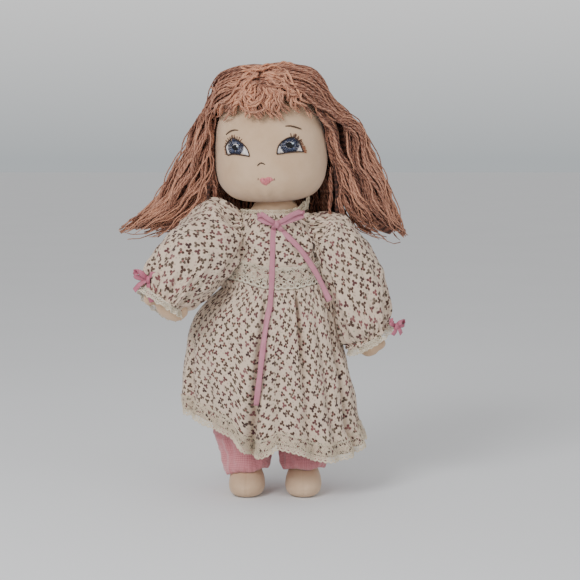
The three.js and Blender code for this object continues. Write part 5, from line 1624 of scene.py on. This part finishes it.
def strands_of_side(side, count, radius, seed):
    """The strands of one side: from the parting over the scalp and down into a mass that sweeps outwards."""
    random = rng(seed)
    sign = SIGNS[side]
    lock = np.array(LOCKS[side], float)
    route = unit(np.gradient(lock[:, :3], axis=0))
    outer = unit(np.cross(route, [0.0, sign * 1.0, 0.0]))
    clumps = 34
    turn = np.arange(clumps) * GOLDEN_ANGLE
    reach = np.sqrt((np.arange(clumps) + 0.5) / clumps)
    clump_places = np.column_stack([reach * np.cos(turn), reach * np.sin(turn)])
    tones = random.normal(0, 0.09, clumps)
    locks = np.column_stack([random.uniform(34, 58, clumps), random.uniform(0.4, 1.6, clumps)])
    phases = random.uniform(0, TURN, clumps)
    droops = random.uniform(0, 11, clumps)
    paths, radii, strands = [], [], []
    for k in range(count):
        c = k % clumps
        stray = k >= count - 12
        place = clump_places[c] + random.normal(0, 0.085, 2)
        place *= min(1, 0.98 / np.linalg.norm(place))
        if stray:
            place *= random.uniform(1.02, 1.15) / max(np.linalg.norm(place), 0.3)
        a, b = place
        outside_share, back = (a + 1) / 2, (b + 1) / 2
        parting = 50 - 124 * back + random.normal(0, 3)
        lift = 2.6 + 4.4 * (a + 1) / 2 + random.normal(0, 0.4)
        loft = 11.5 * max(outside_share, 0) ** 1.4
        points = over_scalp(sign, parting, sign * (80 + 50 * back), 0.1, [
            (0, lift * 0.7 + loft * 0.24), (0.2, lift * 0.9 + loft * 0.44), (0.45, lift + loft * 0.95),
            (0.76, lift + loft * 0.77)])
        for i in range(3 if a > -0.2 else 4, len(lock)):
            out = 0.24 + 0.76 * a if side == "left" and i < 4 else a
            points.append(lock[i, :3] + outer[i] * out * lock[i, 3] + np.array([0, 1.0, 0]) * b * lock[i, 4])
        path, at = curve_through(np.array(points), 72)
        end = 0.87 + 0.12 * a + random.normal(0, 0.035)
        if stray:
            end = random.uniform(0.85, 1.0)
        last = int(np.clip(end, 0.7, 1.0) * 71) + 1
        kept = np.linspace(0, last - 1, 34)
        path = np.stack([np.interp(kept, np.arange(last), path[:last, j]) for j in range(3)], -1)
        at = np.interp(kept, np.arange(last), at[:last])
        grow = 0.25 + 0.75 * ease(15, 75, at)
        path = crimped(random, path, at, locks[c], phases[c] + random.normal(0, 0.3), 0.55, 1.7, grow)
        path = outside_bodice(outside_head(path, 1.8), 1.2)
        share = at / at[-1]
        path[:, 2] -= droops[c] * ease(0.74, 1, share) * max(0.2, 1 - outside_share)
        paths.append(path)
        radii.append(radius * (0.6 if stray else random.uniform(0.85, 1.1)) * (1 - 0.5 * ease(0.86, 1, share)))
        strands.append(np.clip(0.5 + tones[c] + random.normal(0, 0.1), 0.12, 0.95))
    return np.array(paths), radii, strands


class CLOTHDOLL_OT_hair_sides(bpy.types.Operator):
    """Lays the yarn from the parting over both sides of the head and down into two wavy masses"""
    bl_idname = "clothdoll.hair_sides"
    bl_label = "Hair at the sides"

    def execute(self, context):
        settings = context.scene.cloth_doll
        for side, sign in SIGNS.items():
            # The core inside each mass is laid in a dark yarn tone: painted shade in the depth between the strands.
            core = Threads()
            rows = np.array(LOCKS[side], float)
            along = distances(rows[:, :3])
            path = smooth(np.column_stack([along, rows]), np.linspace(along[2], along[-2], 30))
            middle = outside_head(path[:, :3] + [0, 1.5, 0], 1.0)
            grown = 0.35 + 0.65 * ease(0, 9, np.arange(30))
            core.lay(middle, path[:, 4] * 0.68 * grown, path[:, 3] * 0.62 * grown, sides=20,
                     across=np.array([0.0, 1.0, 0.0]), strand=0.16)
            core.piece(f"hair_core_{side}", "plied_yarn", "head", "peach_yarn")
            radius = settings.yarn_thickness / MM / 2
            paths, radii, strands = strands_of_side(side, settings.side_strands, radius, 100 + sign)
            fibres = outside_bodice(outside_head(frayed(rng(160 + sign), paths), 1.5), 1.2)
            hair_piece(f"hair_strands_{side}", f"hair_side_{side}", paths, radii, strands, fibres, 0.12)
        return {"FINISHED"}


def cap_shape(around, along):
    angle = around * 360 - 180
    lowest = smooth([[-180, 128], [-110, 112], [-86, 84], [-66, 56], [-34, 52], [0, 60], [34, 52],
                     [66, 56], [86, 84], [110, 112], [180, 128]], angle)[..., 0]
    return head_to_doll(scalp_point(angle, lowest * (1 - along), 2.6))


def curtain_shape(across, along):
    angle = 82 + across * 196
    fall = np.clip(1 - along, 0, 1)
    upper = head_to_doll(scalp_point(angle, 78 + fall * 22, 4.0))
    size = smooth([[0, 51, 45.5], [0.4, 53.5, 48], [0.75, 55, 49.5], [1, 54.5, 49]], fall)
    lower = round_neck(np.radians(angle), size[..., 0], size[..., 1], 296 - 66 * fall)
    share = ease(0.0, 0.3, fall)[..., None]
    return outside_head(upper * (1 - share) + lower * share, 3.0)


class CLOTHDOLL_OT_hair_back(bpy.types.Operator):
    """Sews the yarn cap over the scalp and hangs the yarn down the back of the neck"""
    bl_idname = "clothdoll.hair_back"
    bl_label = "Hair over the crown and back"

    def execute(self, context):
        settings = context.scene.cloth_doll

        # The cap carries no strand tone, so the yarn takes its darkest colour here: painted shade under the strands.
        piece = shaped_grid("wig_cap", 96, 40, cap_shape, (280, 90), "plied_yarn", closed=True, thickness=1.6)
        finish(piece, "head", "peach_yarn", "hair_crown")

        # The core behind the back hair likewise takes the yarn's darkest colour: painted shade inside the curtain of
        # strands.
        piece = shaped_grid("hair_back_core", 90, 40, curtain_shape, (170, 80), "plied_yarn", thickness=2.2)
        finish(piece, "head", "peach_yarn")

        random = rng(140)
        radius = settings.yarn_thickness / MM / 2
        paths, radii, strands = [], [], []
        clumps = 30
        centres = np.linspace(86, 274, clumps)
        phases, tones = random.uniform(0, TURN, clumps), random.normal(0, 0.09, clumps)
        for k in range(settings.back_strands):
            c = k % clumps
            angle = centres[c] + random.normal(0, 2.6)
            parting = -78 + 62 * abs(angle - 180) / 94 + random.normal(0, 4)
            lift = random.uniform(3.4, 7.2)
            points = over_scalp(1 if angle < 180 else -1, parting, angle, 0.05, [
                (t, lift * (0.55 + 0.45 * ease(0, 0.4, t))) for t in (0, 0.3, 0.65, 1.0)])
            out = lift - 1.5
            for height, wide, deep in ((276, 51, 45), (256, 53, 47), (227 + random.normal(0, 3.2), 52.5, 47)):
                points.append(round_neck(math.radians(angle), wide + out, deep + out, height))
            path, at = curve_through(np.array(points), 30)
            grow = 0.2 + 0.8 * ease(20, 70, at)
            path = crimped(random, path, at, (34, 1.0), phases[c] + random.normal(0, 0.25), 0.4, 1.9, grow)
            paths.append(outside_head(path, 2.4))
            radii.append(radius * random.uniform(0.85, 1.15) * (1 - 0.5 * ease(0.88, 1, at / at[-1])))
            strands.append(np.clip(0.5 + tones[c] + random.normal(0, 0.09), 0.15, 0.95))
        # Short lengths inside the curtain, seen below the chin at both sides of the neck.
        for angle in np.linspace(84, 276, 84):
            a = math.radians(angle + random.normal(0, 1.5))
            points = [round_neck(a, wide, deep, height) for height, wide, deep in (
                (274, 50, 43.5), (260, 48.5, 42.5), (244, 48, 42), (230 + random.normal(0, 3), 50, 44))]
            path, at = curve_through(np.array(points), 30)
            path = crimped(random, path, at, (30, 1.0), random.uniform(0, TURN), 0.5, 1.2, np.ones(30))
            paths.append(outside_head(path, 1.2))
            radii.append(radius * (1 - 0.5 * ease(0.88, 1, at / at[-1])))
            strands.append(random.uniform(0.3, 0.6))
        fibres = frayed(rng(170), np.array(paths))
        hair_piece("hair_strands_back", "hair_back", paths, radii, strands, fibres, 0.1)
        return {"FINISHED"}


# Locks of the fringe: strands, then points across and up the front of the head, in millimetres.
FRINGE_LOCKS = [
    (15, [(-1.6, 96), (-12, 92), (-22, 85.5), (-33, 79), (-44, 70)]),
    (12, [(-3, 94), (-14, 88), (-25, 79), (-34, 70)]),
    (12, [(-2, 103), (-14, 101.5), (-25, 97.5), (-37, 94), (-47, 97.5)]),
    (12, [(-2, 105.5), (-11.5, 98), (-10.5, 87), (-2, 81.5), (8, 84.5), (8.5, 92), (3, 96), (-1, 92)]),
    (11, [(2, 104.5), (14, 104), (25, 98), (31, 88), (27, 79.5)]),
    (12, [(5, 101), (18, 97), (29, 88), (36, 77), (42, 68)]),
    (8, [(8, 105.5), (22, 104.5), (33, 96), (38, 86)]),
    (13, [(-6, 96), (-12, 87), (-15, 79), (-16, 72.5)]),
    (14, [(-3, 94), (-6, 84), (-8, 77), (-9.5, 70)]),
    (14, [(1, 95), (0, 85), (-0.5, 77), (0.5, 68)]),
    (14, [(4, 94), (6, 85), (6.5, 76), (8, 67)]),
    (14, [(8, 93), (12, 84), (13.5, 74), (14.5, 66)]),
    (13, [(12, 92), (18, 84), (21, 77), (22, 70)]),
    (9, [(16, 92), (25, 84), (29, 78), (31, 72)]),
    (10, [(-8, 93), (-18, 84), (-22, 77.5), (-25, 73)]),
    (7, [(6, 100), (16, 92), (20, 84), (14, 79), (8, 84)]),
    (10, [(-15, 103), (-7, 108.5), (3, 110.5), (13, 110), (24, 105)]),
    (9, [(4, 104), (-4, 109), (-14, 110), (-24, 105.5), (-33, 98)]),
    (9, [(1, 103), (8, 109), (18, 111), (28, 107.5), (37, 99)]),
    (5, [(6, 106), (12, 112), (21, 113.5)]),
]


def front_of_head(across, height, lift):
    """A point above the front of the dome, in the head's own frame, by its place seen from the front."""
    across, height = np.asarray(across, float), np.asarray(height, float)
    up = np.maximum(height - DOME["height"], 0) / (DOME["rise"] + lift)
    share = np.clip(1 - (across / (DOME["wide"] + lift)) ** 2 - up ** 2, 0.06, 1)
    return np.stack([across, -(DOME["deep"] + lift) * np.sqrt(share), height], -1)


class CLOTHDOLL_OT_fringe(bpy.types.Operator):
    """Curls the short yarn of the fringe over the forehead in loose locks, some of them looped"""
    bl_idname = "clothdoll.fringe"
    bl_label = "Fringe"

    def execute(self, context):
        settings = context.scene.cloth_doll
        random = rng(150)
        paths, radii, strands = [], [], []
        half = settings.yarn_thickness / MM / 2
        many = settings.fringe_strands / sum(count for count, points in FRINGE_LOCKS)
        t = np.linspace(0, 1, 36)
        for count, points in FRINGE_LOCKS:
            steps = distances(points)
            length, tone = steps[-1], random.normal(0, 0.08)
            phase, depth = random.uniform(0, TURN), random.uniform(0, 2.4)
            for _ in range(max(int(round(count * many)), 2)):
                end = random.uniform(0.72, 1.05)
                flat = settled(smooth(np.column_stack([steps, points]), np.minimum(t * end, 1) * length), 4)
                way = unit(np.gradient(flat, axis=0))
                side = np.stack([-way[:, 1], way[:, 0]], -1)
                off = random.normal(0, 1.15)
                open_out = 0.8 + 1.3 * np.sin(t * math.pi) + 1.5 * ease(0.7, 1, t)
                waves = 1.5 * np.sin(TURN * t * length / 20 + phase + random.normal(0, 0.6))
                waves += 0.6 * np.sin(TURN * t * length / random.uniform(10, 17) + random.uniform(0, TURN))
                flat = flat + side * (off * open_out + waves * ease(0, 0.3, t))[:, None]
                lift = 5.0 + depth + random.uniform(-0.8, 3.4) + 2.6 * np.sin(t * math.pi)
                lift = lift - (3.0 + depth) * ease(0.6, 1, t) + 1.3 * np.cos(TURN * t * length / 13 + phase)
                path = head_to_doll(front_of_head(flat[:, 0], flat[:, 1], lift))
                paths.append(outside_head(path, 1.0))
                radii.append(half * random.uniform(0.9, 1.15) * (1 - 0.55 * ease(0.85, 1, t)))
                strands.append(np.clip(0.78 + tone + random.normal(0, 0.15), 0.25, 0.99))
        hair_piece("fringe_strands", "hair_fringe", paths, radii, strands, frayed(random, np.array(paths)), 0)
        return {"FINISHED"}


PIECES = (
    CLOTHDOLL_OT_stage, CLOTHDOLL_OT_ribbon_tails, CLOTHDOLL_OT_body, CLOTHDOLL_OT_head, CLOTHDOLL_OT_face,
    CLOTHDOLL_OT_arms, CLOTHDOLL_OT_legs, CLOTHDOLL_OT_pantaloons, CLOTHDOLL_OT_bodice, CLOTHDOLL_OT_sleeves,
    CLOTHDOLL_OT_cuffs, CLOTHDOLL_OT_skirt, CLOTHDOLL_OT_dress_laces, CLOTHDOLL_OT_neck_bow,
    CLOTHDOLL_OT_hair_sides, CLOTHDOLL_OT_hair_back, CLOTHDOLL_OT_fringe,
)


class CLOTHDOLL_PT_panel(bpy.types.Panel):
    """Lists the doll's colours, sizes and pieces"""
    bl_idname = "CLOTHDOLL_PT_panel"
    bl_label = "Cloth doll"
    bl_space_type = "VIEW_3D"
    bl_region_type = "UI"
    bl_category = "Cloth doll"

    def draw(self, context):
        for name in DollSettings.__annotations__:
            self.layout.prop(context.scene.cloth_doll, name)
        for piece in PIECES:
            self.layout.operator(piece.bl_idname)


def register():
    for kind in (DollSettings, *PIECES, CLOTHDOLL_PT_panel):
        bpy.utils.register_class(kind)
    bpy.types.Scene.cloth_doll = PointerProperty(type=DollSettings)


def unregister():
    del bpy.types.Scene.cloth_doll
    for kind in reversed((DollSettings, *PIECES, CLOTHDOLL_PT_panel)):
        bpy.utils.unregister_class(kind)


def main():
    register()
    for piece in PIECES:
        group, call = piece.bl_idname.split(".")
        result = getattr(getattr(bpy.ops, group), call)()
        if "FINISHED" not in result:
            raise RuntimeError(f"{piece.bl_label} was not made")
    deselect()


if __name__ == "__main__":
    main()
